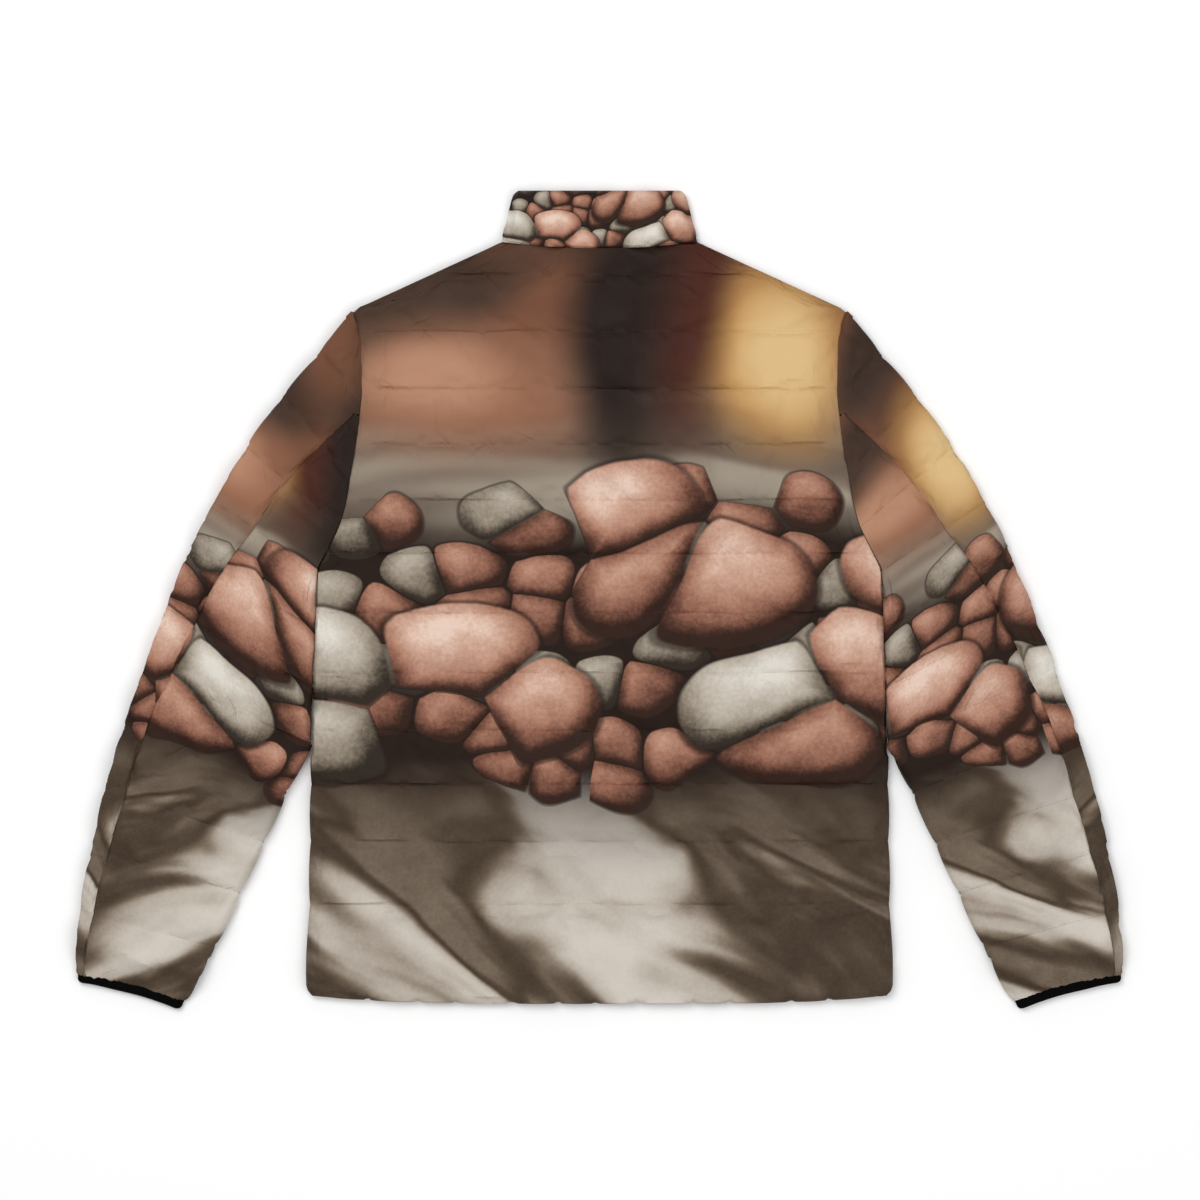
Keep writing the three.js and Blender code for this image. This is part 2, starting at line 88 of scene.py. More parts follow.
# Sleeve rows: outer point across and down, inner point down, share of the row outside the back seam
SLEEVE = (
    (236, 65.6, 66.4, 1.5),
    (264.6, 102.6, 152, 1),
    (300.7, 146.3, 220, 0.6),
    (334.9, 194.8, 271, 0.435),
    (366.2, 247, UNDERARM_DROP, 0.385),
    (389, 293.6, 369, 0.26),
    (411.8, 347.7, 424, 0.2),
    (432.7, 404.7, SLEEVE_LEAVES_DROP, 0.15),
    (451.7, 461.7, 523.5, 0.125),
    (469.8, 520.6, 570, 0.13),
    (482.1, 575.7, 618.5, 0.115),
    (493.2, 634.6, 669.8, 0.1),
    (498.2, 696.5, 722.5, 0.07),
)
SEAM_ROW = 1.2
UNDERARM_ROW = 4
LEAVING_ROW = 7
CUFF_ROW = len(SLEEVE) - 1
CUFF_BOW = 4.5
ROW_LENGTH = 56
INNER_EDGE = ((523.5, 297.4), (570, 318.8), (618.5, 341.5), (669.8, 365.6), (722.5, 393))

# Collar: half width at each share of its height
COLLAR_TOP_Y = frame_mm("collar")[1].y
COLLAR = ((0, NECK_HALF), (0.25, 90.5), (0.5, 87), (0.78, 83.5), (0.92, 81.5), (1, 77))
COLLAR_FOLD = 8
COLLAR_CREST = 10

# Cuff binding and front zip
BINDING_WIDTH = 9
BINDING_NARROW = 6.8
BINDING_INSET = -0.3
BINDING_ROUND = 3
BINDING_CORNER = 5
BINDING_HEIGHT = frame_mm("cuff_left")[1].z
BINDING_TUCK = 0.8
TUCK_DROP = 1.1
FRONT_EDGE = abs(frame_mm("front_right")[0].x)
ZIP_EDGE = 4
ZIP_LOW, ZIP_HIGH = frame_mm("zip")
ZIP_MIDDLE = (ZIP_LOW.z + ZIP_HIGH.z) / 2
SLIDER_LOW, SLIDER_HIGH = frame_mm("zip_slider")
SLIDER_NOSE = 4.2

# Walls: the two layers of the jacket meet at one height and each swells away from it
LAYER = (frame_mm("front_left")[1].z + frame_mm("back")[0].z) / 2
LAYER_SLIT = 0.05
BACK_BOTTOM = LAYER + LAYER_SLIT
FRONT_TOP = LAYER - LAYER_SLIT
STITCHED = 4.2
PADDING_ROOM = 1.4
CREST = frame_mm("back")[1].z - LAYER - PADDING_ROOM
GROOVE = 2.2
SWELL = 0.81
FOLD_ROUND = 11
SEAM_ROUND = 1.8
SEWN_WALL = 3.3
SEAM_DEPTH = 1.1
SEAM_LAP = 0.3
EDGE_WALL = 0.5
TIP_BLEND = 5
UNDERARM_BLEND = 7
ARMHOLE_FALL = (-7, 22)
SEAM_FALL = (-9, 9)
CUFF_WALL = 4
CUFF_DRAW = 2.6
CUFF_CORNER = 11
BULGE = 1.6
BULGE_CLEAR = 8
NOTCH_PITCH = 43
NOTCH_DEPTH = 2
NOTCH_HALF = 3.2
NOTCH_RISE = 7
HEM_ARC = 0.6
CREASE_REACH = (3, 24)
GATHER_ROWS = 0.24
RIPPLE = 0.45
RIPPLE_PITCH = 7.5
CUFF_WAVE = 1.6

# Steps of each cloth grid between one quilting line and the next, and across a panel
CHANNEL_STEPS = 14
TOP_STEPS = 8
HEM_STEPS = 26
FOLD_CROWD = 1.4
SEAM_CROWD = 0.35
BACK_COLUMNS = 180
FRONT_COLUMNS = 84
UPPER_COLUMNS = 68
UNDER_COLUMNS = 96
COLLAR_COLUMNS = 180
COLLAR_ROWS = 22
BINDING_COLUMNS = 160
BINDING_ROWS = 10


# Curves and profiles


def table_curve(points):
    """A smooth curve through (x, y) points, with no overshoot between them."""
    pairs = list(zip(points, points[1:]))
    slopes = [(b[1] - a[1]) / (b[0] - a[0]) for a, b in pairs]
    tangents = [slopes[0]]
    for before, after in zip(slopes, slopes[1:]):
        turns = before * after <= 0
        tangents.append(0 if turns else 2 * before * after / (before + after))
    tangents.append(slopes[-1])

    def value(x):
        i = 0
        while i < len(pairs) - 1 and x > points[i + 1][0]:
            i += 1
        (x0, y0), (x1, y1) = pairs[i]
        s = (x - x0) / (x1 - x0)
        rise = s * s * (3 - 2 * s)
        bend = (x1 - x0) * s * (1 - s)
        return y0 + (y1 - y0) * rise + bend * (tangents[i] * (1 - s) - tangents[i + 1] * s)

    return value


def lerp(a, b, share):
    return a + (b - a) * share


def ease(x, low, high):
    s = min(max((x - low) / (high - low), 0), 1)
    return s * s * (3 - 2 * s)


def round_over(distance, radius):
    """A quarter round: 0 on an edge, 1 from the radius inwards."""
    return math.sqrt(1 - (1 - min(max(distance / radius, 0), 1)) ** 2)


def puff(share, power=0.75):
    """0 on a quilting line and 1 in the middle of the channel. A higher power rises more gently."""
    return max(math.sin(math.pi * share), 0) ** power


def crowd(share, amount=0.3):
    """Evenly spaced shares drawn towards both ends."""
    return share - amount * math.sin(2 * math.pi * share) / (2 * math.pi)


def creased(distance):
    """How much the cloth creases at a distance from its stitching, from 1 to 0."""
    return 1 - ease(distance, *CREASE_REACH)


def wander(along, across, size):
    """A slow random wave, the same in every run."""
    return size * noise.noise(Vector((along, across, 0.37)))


# Body outline

side_half = table_curve(SIDE)
LINES = (0, *QUILTING, HEM_DROP)
SHOULDER_LEAN = SHOULDER_DROP / math.hypot(SHOULDER_DROP, SHOULDER_HALF - NECK_HALF)


def body_half(drop):
    if drop >= SHOULDER_DROP:
        return side_half(drop)
    return lerp(NECK_HALF, SHOULDER_HALF, drop / SHOULDER_DROP)


def hem_notch(across):
    """Depth of the small uneven notches in the hem's edge, which bows out a little between them."""
    uneven = across + wander(across / 70, 5, 26)
    off = abs(uneven / NOTCH_PITCH - round(uneven / NOTCH_PITCH)) * NOTCH_PITCH
    return NOTCH_DEPTH * max(0, 1 - off / NOTCH_HALF) + HEM_ARC * (1 - 2 * off / NOTCH_PITCH) ** 2


def body_y(drop, across, notch=0):
    neck = NECK_SAG * max(0, 1 - (across / NECK_HALF) ** 2) * max(0, 1 - drop / QUILTING[0])
    hem = HEM_SAG * (1 - (across / body_half(drop)) ** 4) * ease(drop, QUILTING[-1], HEM_DROP)
    return NECK_POINT_Y - drop - neck - hem + notch * ease(drop, HEM_DROP - NOTCH_RISE, HEM_DROP)


def body_rows():
    """(drop, share of its channel) for each row of a body panel. A share of 0 is a quilting line."""
    rows = []
    for line, below in zip(LINES, LINES[1:]):
        steps = {LINES[0]: TOP_STEPS, LINES[-2]: HEM_STEPS}.get(line, CHANNEL_STEPS)
        shares = [crowd(i / steps) for i in range(steps)]
        rows += [(lerp(line, below, share), share) for share in shares]
    return [*rows, (HEM_DROP, 0)]


def sewn_to_sleeve(drop):
    """1 where the body's side is sewn to the sleeve, 0 where it is a shoulder or side seam."""
    below_tip = ease(drop, SHOULDER_DROP - TIP_BLEND, SHOULDER_DROP + TIP_BLEND)
    return below_tip * (1 - ease(drop, UNDERARM_DROP - UNDERARM_BLEND, UNDERARM_DROP + UNDERARM_BLEND))


def body_wall(drop, edge, share, stitched, crest):
    """Thickness of a body panel at a distance from its edge."""
    sewn = sewn_to_sleeve(drop)
    fall = lerp(1, ease(edge, *ARMHOLE_FALL), sewn)
    full = lerp(stitched, crest, puff(share, SWELL) * fall)
    rim = round_over(edge, lerp(FOLD_ROUND, SEAM_ROUND, sewn)) * round_over(HEM_DROP - drop, HEM_FOLD)
    rim *= round_over(drop + 1, SEAM_ROUND)
    return lerp(lerp(EDGE_WALL, SEWN_WALL, sewn), full, rim)


# Cloth panels

SHARP = math.radians(50)


def object_of(name, data):
    """Puts a mesh, a lamp or a camera in the scene."""
    made = bpy.data.objects.new(name, data)
    bpy.context.scene.collection.objects.link(made)
    return made


def verts_of(geom):
    return [item for item in geom if isinstance(item, bmesh.types.BMVert)]


def move_into(bm, part):
    """Adds one bmesh to another, and ends the first."""
    mesh = bpy.data.meshes.new("part")
    part.to_mesh(mesh)
    part.free()
    bm.from_mesh(mesh)
    bpy.data.meshes.remove(mesh)


class Panel:
    """One padded panel: an outer cloth that swells between its stitched rows, over a plain inner one.

    A place says for each column and row where the outer and the inner cloth lie, where that point was
    on the flat cut, whether it is sewn, and how much the cloth there is creased and gathered."""

    def __init__(self, name, columns, rows, place, keep=None, ring=False):
        self.name = name
        self.columns = columns
        self.bm = bm = bmesh.new()
        bmesh.ops.create_grid(bm, x_segments=columns, y_segments=rows, size=0.5)
        bmesh.ops.translate(bm, verts=bm.verts, vec=(0.5, 0.5, 0))
        bmesh.ops.scale(bm, verts=bm.verts, vec=(columns, rows, 1))
        if keep:
            gone = [f for f in bm.faces if not keep(*f.calc_center_median().xy)]
            bmesh.ops.delete(bm, geom=gone, context="FACES")
        spots = [(round(v.co.x), round(v.co.y)) for v in bm.verts]
        places = [place(*spot) for spot in spots]
        for layer_name in ("spot", "inner", "cut"):
            bm.verts.layers.float_vector.new(layer_name)
        spot, inner, cut = bm.verts.layers.float_vector.values()
        for v, at, found in zip(bm.verts, spots, places):
            v.co = Vector(found["outer"]) * MM
            v[spot] = (*at, 0)
            v[inner] = Vector(found["inner"]) * MM
            v[cut] = (found["cut"][0] * MM, found["cut"][1] * MM, 0)
        for key in ("pull", "gather", "sewn"):
            layer = bm.verts.layers.float.new(key)
            for v, found in zip(bm.verts, places):
                v[layer] = float(found.get(key, 0))
        if ring:
            bmesh.ops.remove_doubles(bm, verts=bm.verts, dist=0.001 * MM)
        bmesh.ops.recalc_face_normals(bm, faces=bm.faces)
        self.piece = object_of(name, bpy.data.meshes.new(name))

    def flat_cut(self):
        """Width, length and area of the flat cut, in metres."""
        cut = self.bm.verts.layers.float_vector["cut"]
        xs = [v[cut].x for v in self.bm.verts]
        ys = [v[cut].y for v in self.bm.verts]
        area = 0
        for face in self.bm.faces:
            a, b, c, d = [v[cut] for v in face.verts]
            area += ((c - a).cross(d - b)).length / 2
        return max(xs) - min(xs), max(ys) - min(ys), area

    def pad(self, settings):
        """Puts a cloth simulation on the outer cloth, held where it is sewn."""
        self.bm.to_mesh(self.piece.data)
        sewn = self.bm.verts.layers.float["sewn"]
        held = [v.index for v in self.bm.verts if v[sewn] > 0.5]
        self.piece.vertex_groups.new(name="sewn").add(held, 1, "ADD")
        modifier = self.piece.modifiers.new("padding", "CLOTH")
        for name, value in settings.items():
            setattr(modifier.settings, name, value)
        modifier.settings.vertex_group_mass = "sewn"
        modifier.settings.effector_weights.gravity = 0
        modifier.collision_settings.use_collision = False
        modifier.collision_settings.use_self_collision = False

    def settle(self, cap):
        """Takes the simulated shape. No point moves past the cap, or through what it lies on."""
        graph = bpy.context.evaluated_depsgraph_get()
        padded = self.piece.evaluated_get(graph).to_mesh()
        for v, after in zip(self.bm.verts, padded.vertices):
            move = after.co - v.co
            if move.length > cap:
                move *= cap / move.length
            v.co += move
            v.co.z = max(v.co.z, 0)

    def rows_of(self, wanted):
        """Points and outward normals of the outer cloth along each wanted row."""
        self.bm.normal_update()
        spot = self.bm.verts.layers.float_vector["spot"]
        rows = {row: [] for row in wanted}
        for v in self.bm.verts:
            if round(v[spot].y) in rows:
                rows[round(v[spot].y)].append((v[spot].x, v.co.copy(), v.normal.copy()))
        in_order = [sorted(row, key=lambda point: point[0]) for row in rows.values()]
        return [[(co, normal) for _, co, normal in row] for row in in_order]

    def close(self, material):
        """Gives the cloth its inner side and joins the two along every edge."""
        bm = self.bm
        made = bmesh.ops.extrude_face_region(bm, geom=bm.faces[:], use_keep_orig=True)
        inner = bm.verts.layers.float_vector["inner"]
        for v in verts_of(made["geom"]):
            v.co = v[inner]
        bmesh.ops.recalc_face_normals(bm, faces=bm.faces)
        uv = bm.loops.layers.uv.new("cut")
        cut = bm.verts.layers.float_vector["cut"]
        for face in bm.faces:
            face.smooth = True
            for loop in face.loops:
                loop[uv].uv = loop.vert[cut].xy
        for edge in bm.edges:
            edge.smooth = edge.calc_face_angle(0) < SHARP
        for name in ("spot", "inner", "cut"):
            bm.verts.layers.float_vector.remove(bm.verts.layers.float_vector[name])
        bm.verts.layers.float.remove(bm.verts.layers.float["sewn"])
        bm.to_mesh(self.piece.data)
        bm.free()
        self.piece.vertex_groups.clear()
        self.piece.data.materials.append(material)
        return self.piece


# Body panels

BODY_ROWS = body_rows()
QUILTED_ROWS = [i for i, (drop, _) in enumerate(BODY_ROWS) if drop in QUILTING]


def to_stitching(drop):
    return min(abs(drop - line) for line in LINES[1:])


def body_place(columns, side, column, row):
    """(across, y, distance from the edge) of a point of a body panel."""
    drop, share = BODY_ROWS[row]
    free = SLEEVE_LEAVES_DROP + BULGE_CLEAR < drop < HEM_DROP - BULGE_CLEAR
    half = body_half(drop) + (BULGE * puff(share) if free else SEAM_LAP * sewn_to_sleeve(drop))
    if side == 0:
        across = half * (2 * crowd(column / columns) - 1)
    else:
        across = side * lerp(FRONT_EDGE, half, crowd(column / columns))
    lean = SHOULDER_LEAN if drop < SHOULDER_DROP else 1
    edge = (half - abs(across)) * lean
    drift = wander(across / 38, drop / 20, 1.3) * ease(edge, 0, 12) * ease(HEM_DROP - drop, 0, 30)
    notch = hem_notch(across) * ease(edge, 6, 22) if side == 0 else NOTCH_DEPTH
    return across, body_y(drop, across, notch) + drift, edge


def back_height(drop, edge, share, across):
    return BACK_BOTTOM + body_wall(drop, edge, share, STITCHED, CREST)


def front_height(drop, edge, share, across):
    thick = body_wall(drop, edge, share, FRONT_TOP - GROOVE, FRONT_TOP)
    return FRONT_TOP - lerp(FRONT_TOP / 2, thick, round_over(abs(across) - FRONT_EDGE, ZIP_EDGE))


def body_panel(name, columns, side, inside, outer_height):
    """The back, which has side 0, or a front. The inside is the height of its plain inner cloth."""

    def place(column, row):
        across, y, edge = body_place(columns, side, column, row)
        drop, share = BODY_ROWS[row]
        return {
            "outer": (across, y, outer_height(drop, edge, share, across)),
            "inner": (across, y, inside),
            "cut": (across, y),
            "sewn": column in (0, columns) or share == 0,
            "pull": creased(to_stitching(drop)),
        }

    return Panel(name, columns, len(BODY_ROWS) - 1, place)


# Sleeves

outer_across, outer_drop, inner_drop, seam_share = [
    table_curve(list(enumerate(column))) for column in zip(*SLEEVE)
]
clear_edge = table_curve([(SLEEVE_LEAVES_DROP, body_half(SLEEVE_LEAVES_DROP)), *INNER_EDGE])


def sleeve_ends(row):
    """The inner and outer ends of a sleeve row in plan."""
    drop = inner_drop(row)
    across = body_half(drop) if drop <= SLEEVE_LEAVES_DROP else clear_edge(drop)
    inner = Vector((across, NECK_POINT_Y - drop))
    outer = Vector((outer_across(row), NECK_POINT_Y - outer_drop(row)))
    outwards = (outer - inner).normalized()
    drawn = CUFF_DRAW * (1 - round_over((CUFF_ROW - row) * ROW_LENGTH, CUFF_CORNER))
    bulge = BULGE * puff(row % 1) - drawn
    if row > LEAVING_ROW:
        inner -= outwards * bulge
    return inner, outer + outwards * bulge * ease(row, 0, 1)


def sleeve_plan(row, share):
    """A point of a sleeve row in plan. Rows bow towards the shoulder at the cuff."""
    inner, outer = sleeve_ends(row)
    along = (inner - outer).normalized()
    bow = CUFF_BOW * 4 * share * (1 - share) * ease(row, CUFF_ROW - 1, CUFF_ROW)
    return outer.lerp(inner, share) + Vector((along.y, -along.x)) * bow


class SleevePanel:
    """Half of a sleeve's cloth: over the top from the seam to its fold, then underneath to the seam."""

    def __init__(self, side, columns, first_row, wraps_inner):
        self.side = side
        self.columns = columns
        self.wraps_inner = wraps_inner
        self.fold_share = 1 if wraps_inner else 0
        self.first_row = first_row
        self.first_line = math.ceil(first_row) if first_row else 1
        self.head = CHANNEL_STEPS - 3 if wraps_inner else CHANNEL_STEPS
        self.rows = self.head + (CUFF_ROW - self.first_line) * CHANNEL_STEPS

    def row_at(self, index):
        if index < self.head:
            return lerp(self.first_row, self.first_line, index / self.head)
        whole, step = divmod(index - self.head, CHANNEL_STEPS)
        return self.first_line + whole + crowd(step / CHANNEL_STEPS)

    def quilted_rows(self):
        return [self.head + i * CHANNEL_STEPS for i in range(CUFF_ROW - self.first_line)]

    def seam_at(self, row):
        return 1 if row < SEAM_ROW and not self.wraps_inner else seam_share(row)

    def spread(self, column, row):
        """(width of the panel's row, distance from its fold)."""
        inner, outer = sleeve_ends(row)
        reach = abs(self.seam_at(row) - self.fold_share) * (inner - outer).length
        return reach, reach * crowd(abs(2 * column / self.columns - 1), SEAM_CROWD)

    def plan(self, row, reach, distance):
        point = sleeve_plan(row, lerp(self.fold_share, self.seam_at(row), distance / max(reach, 0.01)))
        return Vector((self.side * point.x, point.y))

    def outer_height(self, row, reach, distance, below):
        cuff = ease(row, CUFF_ROW - 0.5, CUFF_ROW)
        middle = lerp(LAYER, CUFF_WALL, cuff)
        swelling = puff(row % 1, SWELL) * (1 - cuff)
        sewn = self.wraps_inner and row <= UNDERARM_ROW
        turn = 1 if sewn else round_over(distance, min(FOLD_ROUND, 0.9 * reach))
        if self.wraps_inner:
            at_armhole, to_armhole = ease(UNDERARM_ROW - row, 0, 0.3), distance
        else:
            at_armhole, to_armhole = ease(SEAM_ROW - row, -0.1, 0), reach - distance
        swelling *= lerp(1, ease(to_armhole, *ARMHOLE_FALL), at_armhole)
        swelling *= ease(reach - distance, *SEAM_FALL)
        seam = round_over(reach - distance, SEAM_ROUND)
        hole = round_over(distance, SEAM_ROUND) if sewn else 1
        if not self.wraps_inner:
            seam, hole = lerp(seam, 1, at_armhole), lerp(1, seam, at_armhole)
        if below:
            under = middle * (1 - turn) + GROOVE * (1 - swelling) * turn
            return lerp(middle / 2, under, seam * hole)
        ripple = RIPPLE * math.sin(2 * math.pi * distance / RIPPLE_PITCH + 2 * math.sin(distance / 9))
        full = lerp(STITCHED, CREST, swelling) + ripple * self.gathered(row)
        return middle + turn * lerp(SEWN_WALL, full - SEAM_DEPTH * (1 - seam), hole)

    def gathered(self, row):
        return ease(row, CUFF_ROW - GATHER_ROWS, CUFF_ROW)

    def inner_point(self, row, reach, distance, column):
        middle = lerp(LAYER, CUFF_WALL, ease(row, CUFF_ROW - 0.5, CUFF_ROW))
        slit = 0 if column == self.columns // 2 else LAYER_SLIT
        level = middle + (-slit if column > self.columns / 2 else slit)
        if self.wraps_inner and row < UNDERARM_ROW:
            point = self.plan(row, reach, distance)
        else:
            wall = min(3, 0.3 * reach)
            point = self.plan(row, reach, lerp(wall, reach, distance / max(reach, 0.01)))
        return point.x, point.y, level

    def place(self, column, index):
        row = self.row_at(index)
        reach, distance = self.spread(column, row)
        below = column > self.columns / 2
        plan = self.plan(row, reach, distance)
        drift = wander(distance / 30 + row, row * 2.6 + self.side, 1.1)
        drift *= ease(distance, 0, 15) * ease(reach - distance, 0, 12)
        wave = wander(distance / 2.7, 3 * self.side, CUFF_WAVE) * ease(row, CUFF_ROW - 0.1, CUFF_ROW)
        on_line = index >= self.head and (index - self.head) % CHANNEL_STEPS == 0
        on_edge = column in (0, self.columns) or index in (0, self.rows)
        on_armhole = self.wraps_inner and row <= UNDERARM_ROW and abs(column - self.columns / 2) <= 1
        return {
            "outer": (plan.x, plan.y + drift + wave, self.outer_height(row, reach, distance, below)),
            "inner": self.inner_point(row, reach, distance, column),
            "cut": (-distance if below else distance, -row * ROW_LENGTH),
            "sewn": on_line or on_edge or on_armhole,
            "pull": creased(abs(row - round(row)) * ROW_LENGTH),
            "gather": self.gathered(row),
        }

    def keep(self, column, index):
        """Above the underarm the panel has no fold: its inner edge is sewn to the body there."""
        above = self.row_at(math.floor(index)) < UNDERARM_ROW - 0.001
        return not (self.wraps_inner and above and abs(column - self.columns / 2) < 1)


def sleeve_panel(name, side, wraps_inner):
    if wraps_inner:
        cloth = SleevePanel(side, UNDER_COLUMNS, SEAM_ROW, True)
    else:
        cloth = SleevePanel(side, UPPER_COLUMNS, 0, False)
    panel = Panel(name, cloth.columns, cloth.rows, cloth.place, cloth.keep)
    return panel, cloth.quilted_rows()


# Collar

collar_half = table_curve(COLLAR)
COLLAR_HEIGHT = COLLAR_TOP_Y - NECK_POINT_Y

# Columns of the band's folds and of its middle at the back of the neck
RIGHT_FOLD = round(COLLAR_COLUMNS * 2 / 9)
COLLAR_MIDDLE = COLLAR_COLUMNS // 2
LEFT_FOLD = COLLAR_COLUMNS - RIGHT_FOLD


def collar_across(column, half):
    """(across, whether it is on the front) of a point of the band, from zip to zip round the neck."""
    if column > COLLAR_MIDDLE:
        across, below = collar_across(COLLAR_COLUMNS - column, half)
        return -across, below
    below = column < RIGHT_FOLD
    steps = RIGHT_FOLD if below else COLLAR_MIDDLE - RIGHT_FOLD
    reach = half - FRONT_EDGE if below else half
    return half - reach * (abs(column - RIGHT_FOLD) / steps) ** FOLD_CROWD, below


def collar_panel():
    def place(column, row):
        up = row / COLLAR_ROWS
        half = collar_half(up)
        x, below = collar_across(column, half)
        y = lerp(body_y(0, x), COLLAR_TOP_Y, up)
        edge = half - abs(x)
        rise = round_over((1 - up) * COLLAR_HEIGHT, COLLAR_FOLD)
        rise *= round_over(up * COLLAR_HEIGHT + 0.6, SEAM_ROUND)
        turn = round_over(edge, FOLD_ROUND)
        pulled = max(abs(x) - max(0, 3 - edge), FRONT_EDGE if below else 0)
        slit = 0 if column in (RIGHT_FOLD, LEFT_FOLD) else LAYER_SLIT
        if below:
            low = lerp(LAYER - 1, 0, rise * round_over(abs(x) - FRONT_EDGE + 1, ZIP_EDGE))
            height = lerp(LAYER, low, turn)
        else:
            height = LAYER + turn * lerp(2, COLLAR_CREST - 0.6, rise)
        return {
            "outer": (x, y, height),
            "inner": (math.copysign(pulled, x), y, LAYER - slit if below else LAYER + slit),
            "cut": (math.copysign(2 * half - abs(x), x) if below else x, up * COLLAR_HEIGHT),
            "sewn": column in (0, COLLAR_COLUMNS) or row in (0, COLLAR_ROWS),
            "pull": 0.7 * creased(min(up, 1 - up) * COLLAR_HEIGHT),
        }

    return Panel("collar_band", COLLAR_COLUMNS, COLLAR_ROWS, place)


# Cuff bindings


def binding_point(side, share, below):
    """A point of the cuff in plan, a distance past the end of the sleeve."""
    step = 0.02
    along = (sleeve_plan(CUFF_ROW, share + step) - sleeve_plan(CUFF_ROW, share - step)).normalized()
    point = sleeve_plan(CUFF_ROW, share) + Vector((-along.y, along.x)) * below
    return Vector((side * point.x, point.y))


def binding(name, side):
    """The elastic band that closes the sleeve: a flattened ring with a slit for the hand."""
    inner_end, outer_end = sleeve_ends(CUFF_ROW)
    width = (inner_end - outer_end).length
    middle = BINDING_HEIGHT / 2
    half_round = BINDING_COLUMNS // 2

    def place(column, row):
        on_top = column < half_round
        s = column / half_round if on_top else 2 - column / half_round
        s = (1 - math.cos(math.pi * s)) / 2
        broad = lerp(BINDING_NARROW, BINDING_WIDTH, ease(s, 0, 0.4))
        below = lerp(-BINDING_TUCK, broad, row / BINDING_ROWS)
        near_end = 1 - round_over(broad - below, BINDING_ROUND)
        tucked = TUCK_DROP * (1 - ease(below, -BINDING_TUCK, 1.5))
        inset = BINDING_INSET + BINDING_CORNER * (1 - round_over(broad - below, BINDING_CORNER))
        share = lerp(inset / width, 1 - inset / width, s)
        edge = min(share, 1 - share) * width - inset
        height = (middle - tucked - BINDING_ROUND * near_end) * round_over(edge, middle)
        point = binding_point(side, share, below)
        inside = binding_point(side, lerp(0.5, share, 0.94), below)
        level = LAYER_SLIT if on_top else -LAYER_SLIT
        return {
            "outer": (point.x, point.y, middle + (height if on_top else -height)),
            "inner": (inside.x, inside.y, middle + (0 if column % half_round == 0 else level)),
            "cut": ((1 if on_top else -1) * share * width, -below),
            "sewn": True,
            "pull": 0,
        }

    return Panel(name, BINDING_COLUMNS, BINDING_ROWS, place, ring=True)


# Padding by cloth simulation

PADDING_FRAMES = 20
PADDING_CAP = 4 * MM
PADDING = {
    "quality": 4,
    "mass": 0.1,
    "tension_stiffness": 12,
    "compression_stiffness": 12,
    "shear_stiffness": 6,
    "bending_stiffness": 0.05,
    "air_damping": 2,
    "shrink_min": -0.018,
    "use_pressure": True,
    "uniform_pressure_force": 1.6,
}


def fill_with_padding(panels):
    """Simulates every panel at once. Sewn points hold while the padding presses the spare cloth out."""
    scene = bpy.context.scene
    scene.frame_start, scene.frame_end = 1, PADDING_FRAMES
    for panel in panels:
        panel.pad(PADDING)
    for step in range(1, PADDING_FRAMES + 1):
        scene.frame_set(step)
    for panel in panels:
        panel.settle(PADDING_CAP)
        panel.piece.modifiers.clear()
    scene.frame_set(1)


# Sewing

STITCH_LENGTH = 2.6
STITCH_PITCH = 3.3
THREAD = 0.24


def added(name, bm, *materials):
    """Puts a finished mesh in the scene as a smooth piece."""
    mesh = bpy.data.meshes.new(name)
    for face in bm.faces:
        face.smooth = True
    bm.to_mesh(mesh)
    bm.free()
    for material in materials:
        mesh.materials.append(material)
    return object_of(name, mesh)


def stitch_places(row):
    """Where the stitches of one row lie, each along the row and on the cloth's surface."""
    places = []
    walked, due = 0.0, STITCH_PITCH * MM
    for (a, normal_a), (b, normal_b) in zip(row, row[1:]):
        step = (b - a).length
        while step and due <= walked + step:
            share = (due - walked) / step
            along = (b - a) / step
            out = normal_a.lerp(normal_b, share)
            out = (out - along * out.dot(along)).normalized()
            spot = a.lerp(b, share) + out * 0.3 * THREAD * MM
            turned = Matrix((along, out.cross(along), out)).transposed()
            places.append(Matrix.Translation(spot) @ turned.to_4x4())
            due += STITCH_PITCH * MM
        walked += step
    return places


def stitch_row(places):
    """Copies of one small stitch, one at each place."""
    bm = bmesh.new()
    first = bmesh.ops.create_uvsphere(bm, u_segments=6, v_segments=4, radius=0.5 * MM)["verts"]
    bmesh.ops.scale(bm, verts=first, vec=(STITCH_LENGTH, THREAD, THREAD))
    stitch = bm.verts[:] + bm.edges[:] + bm.faces[:]
    for place in places:
        copy = bmesh.ops.duplicate(bm, geom=stitch)["geom"]
        bmesh.ops.transform(bm, matrix=place, verts=verts_of(copy))
    bmesh.ops.delete(bm, geom=first, context="VERTS")
    return bm


def sewing(name, rows, thread):
    bm = bmesh.new()
    for row in rows:
        move_into(bm, stitch_row(stitch_places(row)))
    return added(name, bm, thread)


# Front zip

TAPE_THICK = 1
TAPE_GAP = 1.6
TAPE_ROUND = 0.3
TOOTH = (2.6, 0.8, 2.2)
TOOTH_PITCH = 1.5
TOOTH_PAST_MIDDLE = 0.5
TOOTH_ROUND = 0.25
CHAIN_INSET = 2
SLIDER_ROUND = 0.7
SLIDER_RIM = 1.1
SLIDER_RAISE = 0.3


def block(bm, low, high):
    """A box between two corners."""
    made = bmesh.ops.create_cube(bm, size=1)["verts"]
    size = [b - a for a, b in zip(low, high)]
    centre = [(a + b) / 2 for a, b in zip(low, high)]
    bmesh.ops.scale(bm, verts=made, vec=[s * MM for s in size])
    bmesh.ops.translate(bm, verts=made, vec=[c * MM for c in centre])
    return made


